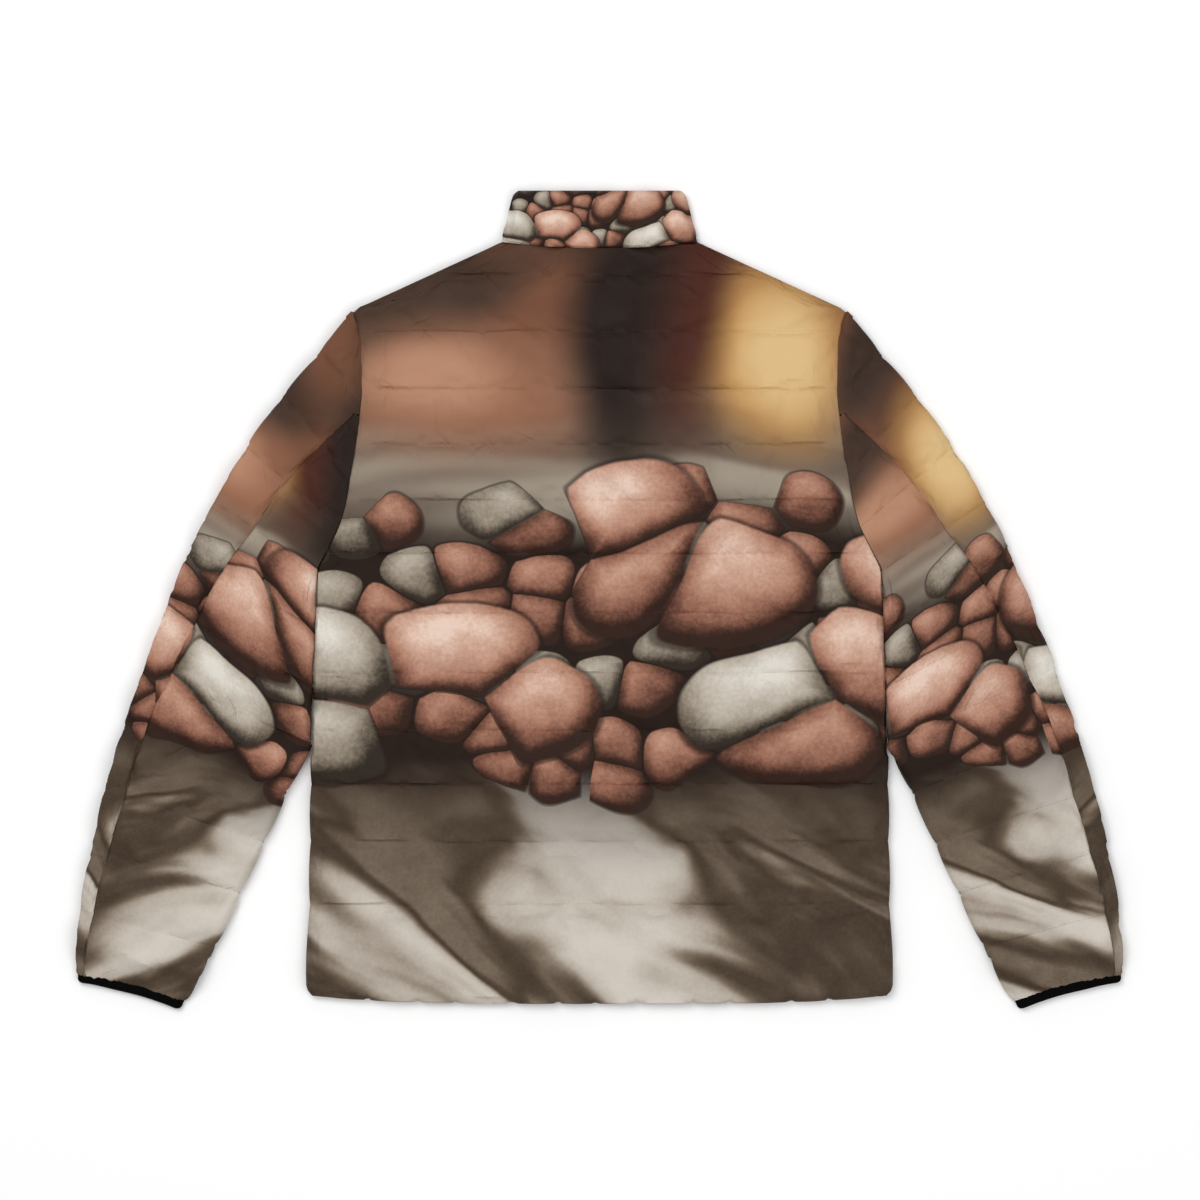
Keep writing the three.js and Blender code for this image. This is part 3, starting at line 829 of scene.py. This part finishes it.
def rounded(bm, verts, radius, segments):
    edges = list({edge for v in verts for edge in v.link_edges})
    shape = {"profile": 0.5, "affect": "EDGES", "material": -1}
    bmesh.ops.bevel(bm, geom=edges, offset=radius * MM, segments=segments, **shape)


def zip_tapes(tape):
    """The two woven tapes, one sewn to each front."""
    bm = bmesh.new()
    for side in (-1, 1):
        near, far = sorted((side * TAPE_GAP / 2, side * ZIP_HIGH.x))
        low = (near, ZIP_LOW.y, ZIP_MIDDLE - TAPE_THICK / 2)
        made = block(bm, low, (far, ZIP_HIGH.y, ZIP_MIDDLE + TAPE_THICK / 2))
        rounded(bm, made, TAPE_ROUND, 2)
    return added("zip_tapes", bm, tape)


def zip_teeth(plastic):
    """Teeth that mesh from alternate sides, all the way up the front."""
    bm = bmesh.new()
    wide, deep, high = TOOTH
    for side in (-1, 1):
        start = ZIP_LOW.y + CHAIN_INSET + (TOOTH_PITCH / 2 if side > 0 else 0)
        near, far = sorted((-side * TOOTH_PAST_MIDDLE, side * (wide - TOOTH_PAST_MIDDLE)))
        tooth = bmesh.new()
        low = (near, start, ZIP_MIDDLE - high / 2)
        made = block(tooth, low, (far, start + deep, ZIP_MIDDLE + high / 2))
        rounded(tooth, made, TOOTH_ROUND, 1)
        count = int((ZIP_HIGH.y - CHAIN_INSET - deep - start) / TOOTH_PITCH)
        geom = tooth.verts[:] + tooth.edges[:] + tooth.faces[:]
        repeat = {"dvec": (0, TOOTH_PITCH * MM, 0), "angle": 0, "steps": count, "use_duplicate": True}
        bmesh.ops.spin(tooth, geom=geom, cent=(0, 0, 0), axis=(0, 0, 1), **repeat)
        move_into(bm, tooth)
    return added("zip_teeth", bm, plastic)


def zip_slider(lacquer):
    """The slider's body: a plate that narrows to its nose, with a raised middle and rounded edges."""
    bm = bmesh.new()
    made = block(bm, SLIDER_LOW, SLIDER_HIGH)
    nose = [v for v in made if v.co.y < SLIDER_LOW.y * MM + 0.001]
    bmesh.ops.scale(bm, verts=nose, vec=(SLIDER_NOSE / (SLIDER_HIGH.x - SLIDER_LOW.x), 1, 1))
    rounded(bm, made, SLIDER_ROUND, 3)
    face = min(bm.faces, key=lambda f: f.calc_center_median().z)
    bmesh.ops.inset_region(bm, faces=[face], thickness=SLIDER_RIM * MM)
    bmesh.ops.translate(bm, verts=face.verts[:], vec=(0, 0, -SLIDER_RAISE * MM))
    return added("zip_slider_body", bm, lacquer)


# Materials


class Nodes:
    """Short ways to add nodes to one tree."""

    def __init__(self, tree):
        self.tree = tree

    def feed(self, socket, value):
        if isinstance(value, bpy.types.NodeSocket):
            self.tree.links.new(value, socket)
        else:
            socket.default_value = value

    def add(self, kind, inputs=(), **settings):
        node = self.tree.nodes.new(kind)
        for key, value in settings.items():
            setattr(node, key, value)
        for name, value in dict(inputs).items():
            self.feed(node.inputs[name], value)
        return node

    def group(self, group, **inputs):
        return self.add("ShaderNodeGroup", inputs, node_tree=group).outputs

    def math(self, operation, a, b=0.5, c=0.5):
        return self.add("ShaderNodeMath", {0: a, 1: b, 2: c}, operation=operation).outputs[0]

    def plus(self, a, b):
        return self.math("ADD", a, b)

    def minus(self, a, b):
        return self.math("SUBTRACT", a, b)

    def times(self, a, b):
        return self.math("MULTIPLY", a, b)

    def vector(self, operation, a, b=(0, 0, 0)):
        node = self.add("ShaderNodeVectorMath", {0: a, 1: b}, operation=operation)
        return node.outputs["Value" if operation in ("DOT_PRODUCT", "LENGTH") else "Vector"]

    def mapping(self, at, place=(0, 0), turn=0, scale=(1, 1)):
        settings = {"Vector": at, "Location": (*place, 0), "Rotation": (0, 0, math.radians(turn))}
        return self.add("ShaderNodeMapping", {**settings, "Scale": (*scale, 1)}).outputs[0]

    def noise(self, at, scale, detail=2.0, roughness=0.5, distortion=0.0, output="Fac"):
        settings = {"Vector": at, "Scale": scale, "Detail": detail, "Roughness": roughness}
        return self.add("ShaderNodeTexNoise", {**settings, "Distortion": distortion}).outputs[output]

    def sway(self, at, amount, *settings):
        """The place, moved about by a noise. The amount is the most that it moves."""
        drift = self.vector("SUBTRACT", self.noise(at, *settings, output="Color"), (0.5, 0.5, 0.5))
        return self.vector("ADD", at, self.vector("MULTIPLY", drift, (2 * amount, 2 * amount, 0)))

    def wave(self, at, scale, direction, **more):
        settings = {"Vector": at, "Scale": scale, **more}
        return self.add("ShaderNodeTexWave", settings, bands_direction=direction).outputs["Fac"]

    def cells(self, at, randomness=1.0, **settings):
        inputs = {"Vector": at, "Scale": 1.0, "Randomness": randomness}
        return self.add("ShaderNodeTexVoronoi", inputs, voronoi_dimensions="2D", **settings).outputs

    def part(self, at, axis):
        return self.add("ShaderNodeSeparateXYZ", {0: at}).outputs[axis]

    def smooth(self, value, low, high, start=0.0, end=1.0):
        settings = {"Value": value, "From Min": low, "From Max": high, "To Min": start, "To Max": end}
        return self.add("ShaderNodeMapRange", settings, interpolation_type="SMOOTHSTEP").outputs[0]

    def ramp(self, value, stops):
        """A colour ramp. Stops are (place, colour)."""
        node = self.add("ShaderNodeValToRGB", {"Fac": value})
        node.color_ramp.interpolation = "B_SPLINE"
        elements = node.color_ramp.elements
        while len(elements) < len(stops):
            elements.new(0.5)
        for element, (place, shade) in zip(elements, stops):
            element.position = place
            element.color = (*shade, 1)
        return node.outputs["Color"]

    def mix(self, share, under, over):
        node = self.add("ShaderNodeMix", {0: share}, data_type="RGBA")
        for socket, shade in ((node.inputs[6], under), (node.inputs[7], over)):
            self.feed(socket, (*shade, 1) if isinstance(shade, tuple) else shade)
        return node.outputs[2]

    def mark(self, name):
        """A number that the cloth keeps at each of its points."""
        return self.add("ShaderNodeAttribute", attribute_name=name).outputs["Fac"]

    def bump(self, height):
        """A normal out of a height in metres."""
        return self.add("ShaderNodeBump", {"Strength": 1.0, "Distance": 1.0, "Height": height}).outputs[0]


def new_group(name, inputs, outputs):
    """A new shader node group with named sockets: its nodes, what comes in and what goes out."""
    group = bpy.data.node_groups.new(name, "ShaderNodeTree")
    for way, sockets in (("INPUT", inputs), ("OUTPUT", outputs)):
        for socket, kind in sockets.items():
            group.interface.new_socket(socket, in_out=way, socket_type="NodeSocket" + kind)
    start, end = group.nodes.new("NodeGroupInput"), group.nodes.new("NodeGroupOutput")
    return Nodes(group), start.outputs, end.inputs


def colour(code):
    """A colour from its screen code, in linear light."""
    parts = [int(code[i : i + 2], 16) / 255 for i in (0, 2, 4)]
    return tuple(p / 12.92 if p <= 0.04045 else ((p + 0.055) / 1.055) ** 2.4 for p in parts)


def shades(places, codes):
    """Screen codes at their places along a colour ramp."""
    return list(zip(places, map(colour, codes.split())))


DUSK = colour("33261f")
UMBER = colour("4a3529")
SIENNA = colour("714a36")
TAUPE = colour("6f6456")
HAZE = colour("958a7b")
GAP = colour("21150f")
SHADED_SAND = colour("42352a")

# Soft patches in the dusk: middle, size and colour, those in front last
PATCHES = (
    ((-0.13, -0.135), (0.2, 0.085), colour("8c6049")),
    ((-0.16, -0.125), (0.11, 0.05), colour("aa7e64")),
    ((0.17, -0.11), (0.11, 0.12), colour("b98a50")),
    ((0.18, -0.11), (0.065, 0.08), colour("cdae7c")),
    ((0.085, -0.06), (0.06, 0.22), colour("47241a")),
    ((0.03, -0.08), (0.075, 0.25), colour("241a16")),
)

# Each ramp runs from a shaded side to a lit side
STONE_STEPS = (0, 0.22, 0.45, 0.66, 0.85, 1)
TAN = shades(STONE_STEPS, "23150f 523226 926350 b08570 c7a390 dcc4b5")
GREY = shades(STONE_STEPS, "1f1812 52473b 8e8373 aba193 c1b9ad d4cfc6")
SAND = shades((0, 0.22, 0.45, 0.7, 1), "33281e 504235 756757 a3988b cbc4ba")

# Where the print changes, down from its top, in metres at its full size
STONES_TOP = -0.235
STONES_FOOT = -0.52
WARP = 0.045

# Stones: size of a cell, its slant, the pattern's place, share of cells that hold one, and their light
SMALL_STONES = ((0.064, 0.05), 10, (3.3, 1.7), 1, 0.62)
LARGE_STONES = ((0.138, 0.098), 16, (0.35, 0.6), 0.8, 1.0)
STONE_REACH = 0.63
STONE_BLEND = 0.4
STONE_CROWN = (-0.15, 0.45)
LIGHT_FROM = (-0.6, 0.9, 0)


def oval(n, at, centre, size):
    """1 in the middle of a soft oval and 0 outside it."""
    place = [-c / s for c, s in zip(centre, size)]
    return n.smooth(n.vector("LENGTH", n.mapping(at, place, 0, [1 / s for s in size])), 1, 0.25)


def dusk_light(n, at):
    """The blurred upper part: dusk over streaked, hazy ground, with a clay bank, a glow and a trunk."""
    fall = n.smooth(n.part(at, "Y"), 0.04, STONES_TOP)
    shade = n.ramp(fall, ((0, DUSK), (0.5, UMBER), (0.8, TAUPE), (0.97, HAZE)))
    warm = n.smooth(n.noise(at, 5.0, 1.0), 0.42, 0.62, 0.0, 0.9)
    shade = n.mix(n.times(warm, n.smooth(fall, 0.75, 0.4)), shade, SIENNA)
    streaks = n.smooth(n.noise(n.mapping(at, (0, 0), 4, (2.5, 22)), 1.0, 1.0), 0.4, 0.6)
    shade = n.mix(n.times(streaks, n.smooth(fall, 0.55, 0.8, 0.0, 0.7)), shade, UMBER)
    for middle, size, patch in PATCHES:
        shade = n.mix(oval(n, at, middle, size), shade, patch)
    return shade


def stones(n, at, size, turn, place, share):
    """A layer of smooth stones: where it covers and shades, how lit it is, and each stone's number."""
    cells = n.mapping(at, place, turn, [1 / s for s in size])
    near = n.cells(cells, 0.9)
    rim = n.cells(cells, 0.9, feature="DISTANCE_TO_EDGE")["Distance"]
    off = n.vector("SUBTRACT", cells, near["Position"])
    round_off = n.times(n.minus(STONE_REACH, near["Distance"]), 1.5)
    inside = n.math("SMOOTH_MIN", n.times(rim, 2.0), round_off, STONE_BLEND)
    tilt = n.vector("DOT_PRODUCT", off, LIGHT_FROM)
    lit = n.plus(n.times(tilt, 0.9), n.times(n.smooth(inside, *STONE_CROWN), 0.66))

    chance = n.add("ShaderNodeSeparateColor", {0: near["Color"]}).outputs
    back = n.mapping(off, (0, 0), 0, size)
    centre_y = n.minus(n.part(at, "Y"), n.part(n.mapping(back, (0, 0), -turn), "Y"))
    edge = n.times(chance["Blue"], 0.03)
    below = n.math("LESS_THAN", n.plus(centre_y, edge), STONES_TOP)
    above = n.math("GREATER_THAN", n.minus(centre_y, edge), STONES_FOOT)
    kept = n.times(n.math("LESS_THAN", chance["Green"], share), n.times(below, above))
    cover = n.times(n.smooth(inside, 0.0, 0.05), kept)
    shadow = n.times(n.smooth(inside, -0.07, 0.0, 0.0, 0.7), kept)
    return cover, shadow, lit, chance["Red"]


def lay_stones(n, at, under, layer, grain):
    *cell, light = layer
    cover, shadow, lit, kind = stones(n, at, *cell)
    lit = n.plus(n.times(lit, light), grain)
    shade = n.mix(n.smooth(kind, 0.58, 0.62), n.ramp(lit, TAN), n.ramp(lit, GREY))
    return n.mix(cover, n.mix(shadow, under, GAP), shade)


def rippled_sand(n, at, grain):
    """Broad slanting ripples with soft dark valleys, shaded where the stones lie on them."""
    slanted = n.mapping(n.mapping(at, (0, 0), 28), (0, 0), 0, (3.0, 8.5))
    broad = n.noise(slanted, 1.0, 3.0, 0.42, 0.7)
    valley = n.smooth(n.math("ABSOLUTE", n.minus(broad, 0.47)), 0.0, 0.09)
    height = n.plus(n.smooth(broad, 0.41, 0.66, 0.02, 0.66), n.times(valley, 0.34))
    shade = n.ramp(n.plus(height, n.times(grain, 0.5)), SAND)
    shaded = n.smooth(n.part(at, "Y"), STONES_FOOT - 0.1, STONES_FOOT, 0.0, 0.6)
    return n.mix(shaded, shade, SHADED_SAND)


def print_group():
    """The shell's print: smooth stones between a blurred dusk and rippled sand."""
    n, start, end = new_group("stones_print", {"Vector": "Vector"}, {"Color": "Color"})
    at = start["Vector"]
    bent = n.sway(at, WARP, 4.5, 3.0, 0.3)
    fall = n.part(bent, "Y")
    soft = n.smooth(n.noise(at, 26, 4.0, 0.6), 0.25, 0.75, -0.09, 0.09)
    fine = n.smooth(n.noise(at, 240, 3.0, 0.7), 0.25, 0.75, -0.06, 0.06)
    grain = n.plus(soft, fine)

    to_sand = n.smooth(fall, STONES_TOP - 0.2, STONES_FOOT)
    scene = n.mix(to_sand, dusk_light(n, bent), rippled_sand(n, bent, grain))
    under_top = n.smooth(fall, STONES_TOP + 0.01, STONES_TOP - 0.05)
    over_foot = n.smooth(fall, STONES_FOOT - 0.03, STONES_FOOT + 0.03)
    scene = n.mix(n.times(under_top, over_foot), scene, GAP)
    for layer in (SMALL_STONES, LARGE_STONES):
        scene = lay_stones(n, bent, scene, layer, grain)
    n.feed(end["Color"], scene)
    return n.tree


def taffeta_group():
    """A tight plain weave with a fine crinkle: its height in metres, and its roughness."""
    n, start, end = new_group("taffeta", {"Vector": "Vector"}, {"Height": "Float", "Roughness": "Float"})
    at = start["Vector"]
    weave = n.times(n.math("MAXIMUM", n.wave(at, 450.0, "X"), n.wave(at, 450.0, "Y")), 0.00002)
    n.feed(end["Height"], n.plus(weave, n.times(n.noise(at, 60, 3.0, 0.55), 0.0006)))
    n.feed(end["Roughness"], n.smooth(n.noise(at, 20, 3.0), 0.3, 0.7, 0.56, 0.68))
    return n.tree


def crease_layer(n, at, pitch, place, length, width):
    """Short creases, one in a cell of cloth, each at its own slant. 1 on a crease and 0 off it."""
    cells = n.mapping(at, place, 0, (1 / pitch, 1 / pitch))
    near = n.cells(cells)
    off = n.vector("SUBTRACT", cells, near["Position"])
    chance = n.add("ShaderNodeSeparateColor", {0: near["Color"]}).outputs
    side = n.math("SIGN", n.minus(chance["Green"], 0.2))
    turn = {"Vector": off, "Angle": n.times(n.smooth(chance["Red"], 0.0, 1.0, 0.4, 1.0), side)}
    turned = n.add("ShaderNodeVectorRotate", turn, rotation_type="Z_AXIS").outputs[0]
    ridge = n.smooth(n.math("ABSOLUTE", n.part(turned, "Y")), width / pitch, 0)
    stretch = n.smooth(n.math("ABSOLUTE", n.part(turned, "X")), length / 2 / pitch, 0.1)
    return n.times(n.times(ridge, stretch), n.smooth(chance["Blue"], 0.3, 1.0))


def crease_group():
    """Creases that run off the stitching, and gathers where elastic pulls the cloth in: a height."""
    sockets = {"Vector": "Vector", "Pull": "Float", "Gather": "Float"}
    n, start, end = new_group("creases", sockets, {"Height": "Float"})
    at = start["Vector"]
    bent = n.sway(at, 0.0045, 35)
    long_ones = n.times(crease_layer(n, bent, 0.044, (0, 0), 0.04, 0.0022), 0.0009)
    short_ones = n.times(crease_layer(n, bent, 0.021, (3.7, 1.1), 0.019, 0.0014), 0.0004)
    near = n.times(n.plus(long_ones, short_ones), start["Pull"])
    ticks = n.wave(bent, 88.0, "X", **{"Distortion": 3.5, "Detail Scale": 3.0})
    ticks = n.times(n.times(ticks, start["Gather"]), n.smooth(n.noise(at, 70, 1.0), 0.4, 0.65))
    n.feed(end["Height"], n.plus(near, n.times(ticks, 0.0007)))
    return n.tree


def rib_group():
    """Fine ribs of a knitted or woven strip: a height in metres."""
    n, start, end = new_group("ribs", {"Vector": "Vector", "Ribs": "Float"}, {"Height": "Float"})
    rib, row = [n.wave(start["Vector"], start["Ribs"], direction) for direction in "XY"]
    n.feed(end["Height"], n.times(n.plus(rib, n.times(row, 0.4)), 0.00012))
    return n.tree


PRINT = print_group()
TAFFETA = taffeta_group()
CREASES = crease_group()
RIBS = rib_group()


def material_of(name, constants):
    """A new material. What is the same all over its surface is set on the shader's own sockets."""
    made = bpy.data.materials.new(name)
    made.use_nodes = True
    shader = made.node_tree.nodes["Principled BSDF"]
    for socket, value in constants.items():
        shader.inputs[socket].default_value = value
    return made, Nodes(made.node_tree), shader.inputs


def shell_material(name, size, place):
    """Printed shell cloth. The print's size is against the body's, its place that of its middle top."""
    made, n, shader = material_of(name, {"Specular IOR Level": 0.1})
    cut = n.add("ShaderNodeUVMap", uv_map="cut").outputs[0]
    weave = n.group(TAFFETA, Vector=cut)
    creases = n.group(CREASES, Vector=cut, Pull=n.mark("pull"), Gather=n.mark("gather"))
    design = n.group(PRINT, Vector=n.mapping(cut, place, 0, (1 / size, 1 / size)))
    n.feed(shader["Base Color"], design["Color"])
    n.feed(shader["Roughness"], weave["Roughness"])
    n.feed(shader["Normal"], n.bump(n.plus(weave["Height"], creases["Height"])))
    return made


def ribbed_material(name, shade, ribs, uv_map=None):
    """Black elastic or woven tape, with ribs so many to the metre."""
    constants = {"Base Color": (*shade, 1), "Roughness": 0.85, "Specular IOR Level": 0.03}
    made, n, shader = material_of(name, constants)
    if uv_map:
        at = n.add("ShaderNodeUVMap", uv_map=uv_map).outputs[0]
    else:
        at = n.add("ShaderNodeTexCoord").outputs["Object"]
    n.feed(shader["Normal"], n.bump(n.group(RIBS, Vector=at, Ribs=ribs)["Height"]))
    return made


def plain_material(name, shade, roughness, coat=0.0):
    constants = {"Base Color": (*shade, 1), "Roughness": roughness, "Coat Weight": coat}
    return material_of(name, {**constants, "Specular IOR Level": 0.3})[0]


# The print's size on each panel against the body's, and where it is placed
PRINTS = {
    "back": (1, (0, -0.34)),
    "front_left": (1, (0.62, -0.34)),
    "front_right": (1, (-0.62, -0.34)),
    "collar": (0.3, (0, -0.45)),
    "sleeve_left_upper": (0.72, (-0.13, 0.12)),
    "sleeve_left_under": (0.72, (0.02, 0.1)),
    "sleeve_right_upper": (0.72, (0.16, 0.13)),
    "sleeve_right_under": (0.72, (-0.2, 0.11)),
}


def sew_up(panel, node, quilted_rows, thread):
    """Finishes a cloth panel: its stitching, its wall and its print, and measures its flat cut."""
    width, length, area = panel.flat_cut()
    rows = panel.rows_of(quilted_rows)
    piece = panel.close(shell_material("shell_" + node, *PRINTS[node]))
    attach(piece, "root")
    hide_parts(node)
    stitching = []
    if rows:
        stitching.append(sewing(node + "_stitching", rows, thread))
        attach(stitching[0], "root")
    return lambda: piece


# Making the jacket

HANDS = ((-1, "left"), (1, "right"))
back = body_panel("back_panel", BACK_COLUMNS, 0, BACK_BOTTOM, back_height)
quilted = {"back": (back, QUILTED_ROWS), "collar": (collar_panel(), [])}
for side, hand in HANDS:
    front = body_panel(f"front_{hand}_panel", FRONT_COLUMNS, side, FRONT_TOP, front_height)
    quilted[f"front_{hand}"] = front, QUILTED_ROWS
for side, hand in HANDS:
    for node, wraps_inner in ((f"sleeve_{hand}_upper", False), (f"sleeve_{hand}_under", True)):
        quilted[node] = sleeve_panel(node + "_panel", side, wraps_inner)

fill_with_padding([panel for panel, _ in quilted.values()])

thread = plain_material("thread", colour("5f5145"), 0.7)
cuts = [sew_up(panel, node, rows, thread) for node, (panel, rows) in quilted.items()]
for state_cut in cuts:
    state_cut()

elastic = ribbed_material("elastic", (0.002, 0.002, 0.002), 190, "cut")
for side, hand in HANDS:
    cuff = binding(f"cuff_{hand}_elastic", side)
    width, length, area = cuff.flat_cut()
    piece = cuff.close(elastic)
    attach(piece, "root")
    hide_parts(f"cuff_{hand}")

tapes = zip_tapes(ribbed_material("tape", (0.012, 0.012, 0.013), 240))
teeth = zip_teeth(plain_material("teeth_plastic", (0.015, 0.015, 0.016), 0.4))
slider = zip_slider(plain_material("slider_lacquer", (0.02, 0.02, 0.021), 0.35, 0.4))
for piece, slot_name in ((tapes, "zip_tape"), (teeth, "zip_tape"), (slider, "zip_metal")):
    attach(piece, "root")
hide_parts("zip")
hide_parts("zip_slider")


# Floor, light and camera

FLOOR_HALF = 6
FLOOR_CLEAR = 0.3


def floor():
    bm = bmesh.new()
    bmesh.ops.create_grid(bm, x_segments=1, y_segments=1, size=FLOOR_HALF)
    bmesh.ops.translate(bm, verts=bm.verts, vec=(0, 0, -FLOOR_CLEAR * MM))
    paper = material_of("floor_paper", {"Base Color": (0.9, 0.9, 0.9, 1), "Roughness": 0.9})[0]
    added("floor", bm, paper)


def area_light(name, place, size, power):
    lamp = bpy.data.lights.new(name, "AREA")
    lamp.shape = "SQUARE"
    lamp.size = size
    lamp.energy = power
    made = object_of(name, lamp)
    made.location = place
    made.rotation_euler = (-Vector(place)).to_track_quat("-Z", "Y").to_euler()


def studio():
    area_light("key", (-1.1, 1.3, 3.0), 2.0, 63)
    area_light("fill", (1.6, -0.9, 3.0), 2.4, 33)
    world = bpy.data.worlds.new("studio")
    world.use_nodes = True
    background = world.node_tree.nodes["Background"]
    background.inputs["Color"].default_value = (1, 1, 1, 1)
    background.inputs["Strength"].default_value = 0.55
    bpy.context.scene.world = world
    bpy.context.scene.view_settings.view_transform = "Standard"


PHOTO_WIDTH = 1140
PHOTO_MIDDLE = 0.5
PHOTO_LENS = 200
FOCUS_HEIGHT = 10
SENSOR = 36


def camera():
    """Straight above the jacket, far enough off that its height hardly shows."""
    data = bpy.data.cameras.new("camera")
    data.lens = PHOTO_LENS
    data.sensor_width = SENSOR
    data.clip_end = 100
    made = object_of("camera", data)
    distance = PHOTO_WIDTH * MM * PHOTO_LENS / SENSOR
    made.location = (PHOTO_MIDDLE * MM, 0, distance + FOCUS_HEIGHT * MM)
    bpy.context.scene.camera = made


floor()
studio()
camera()
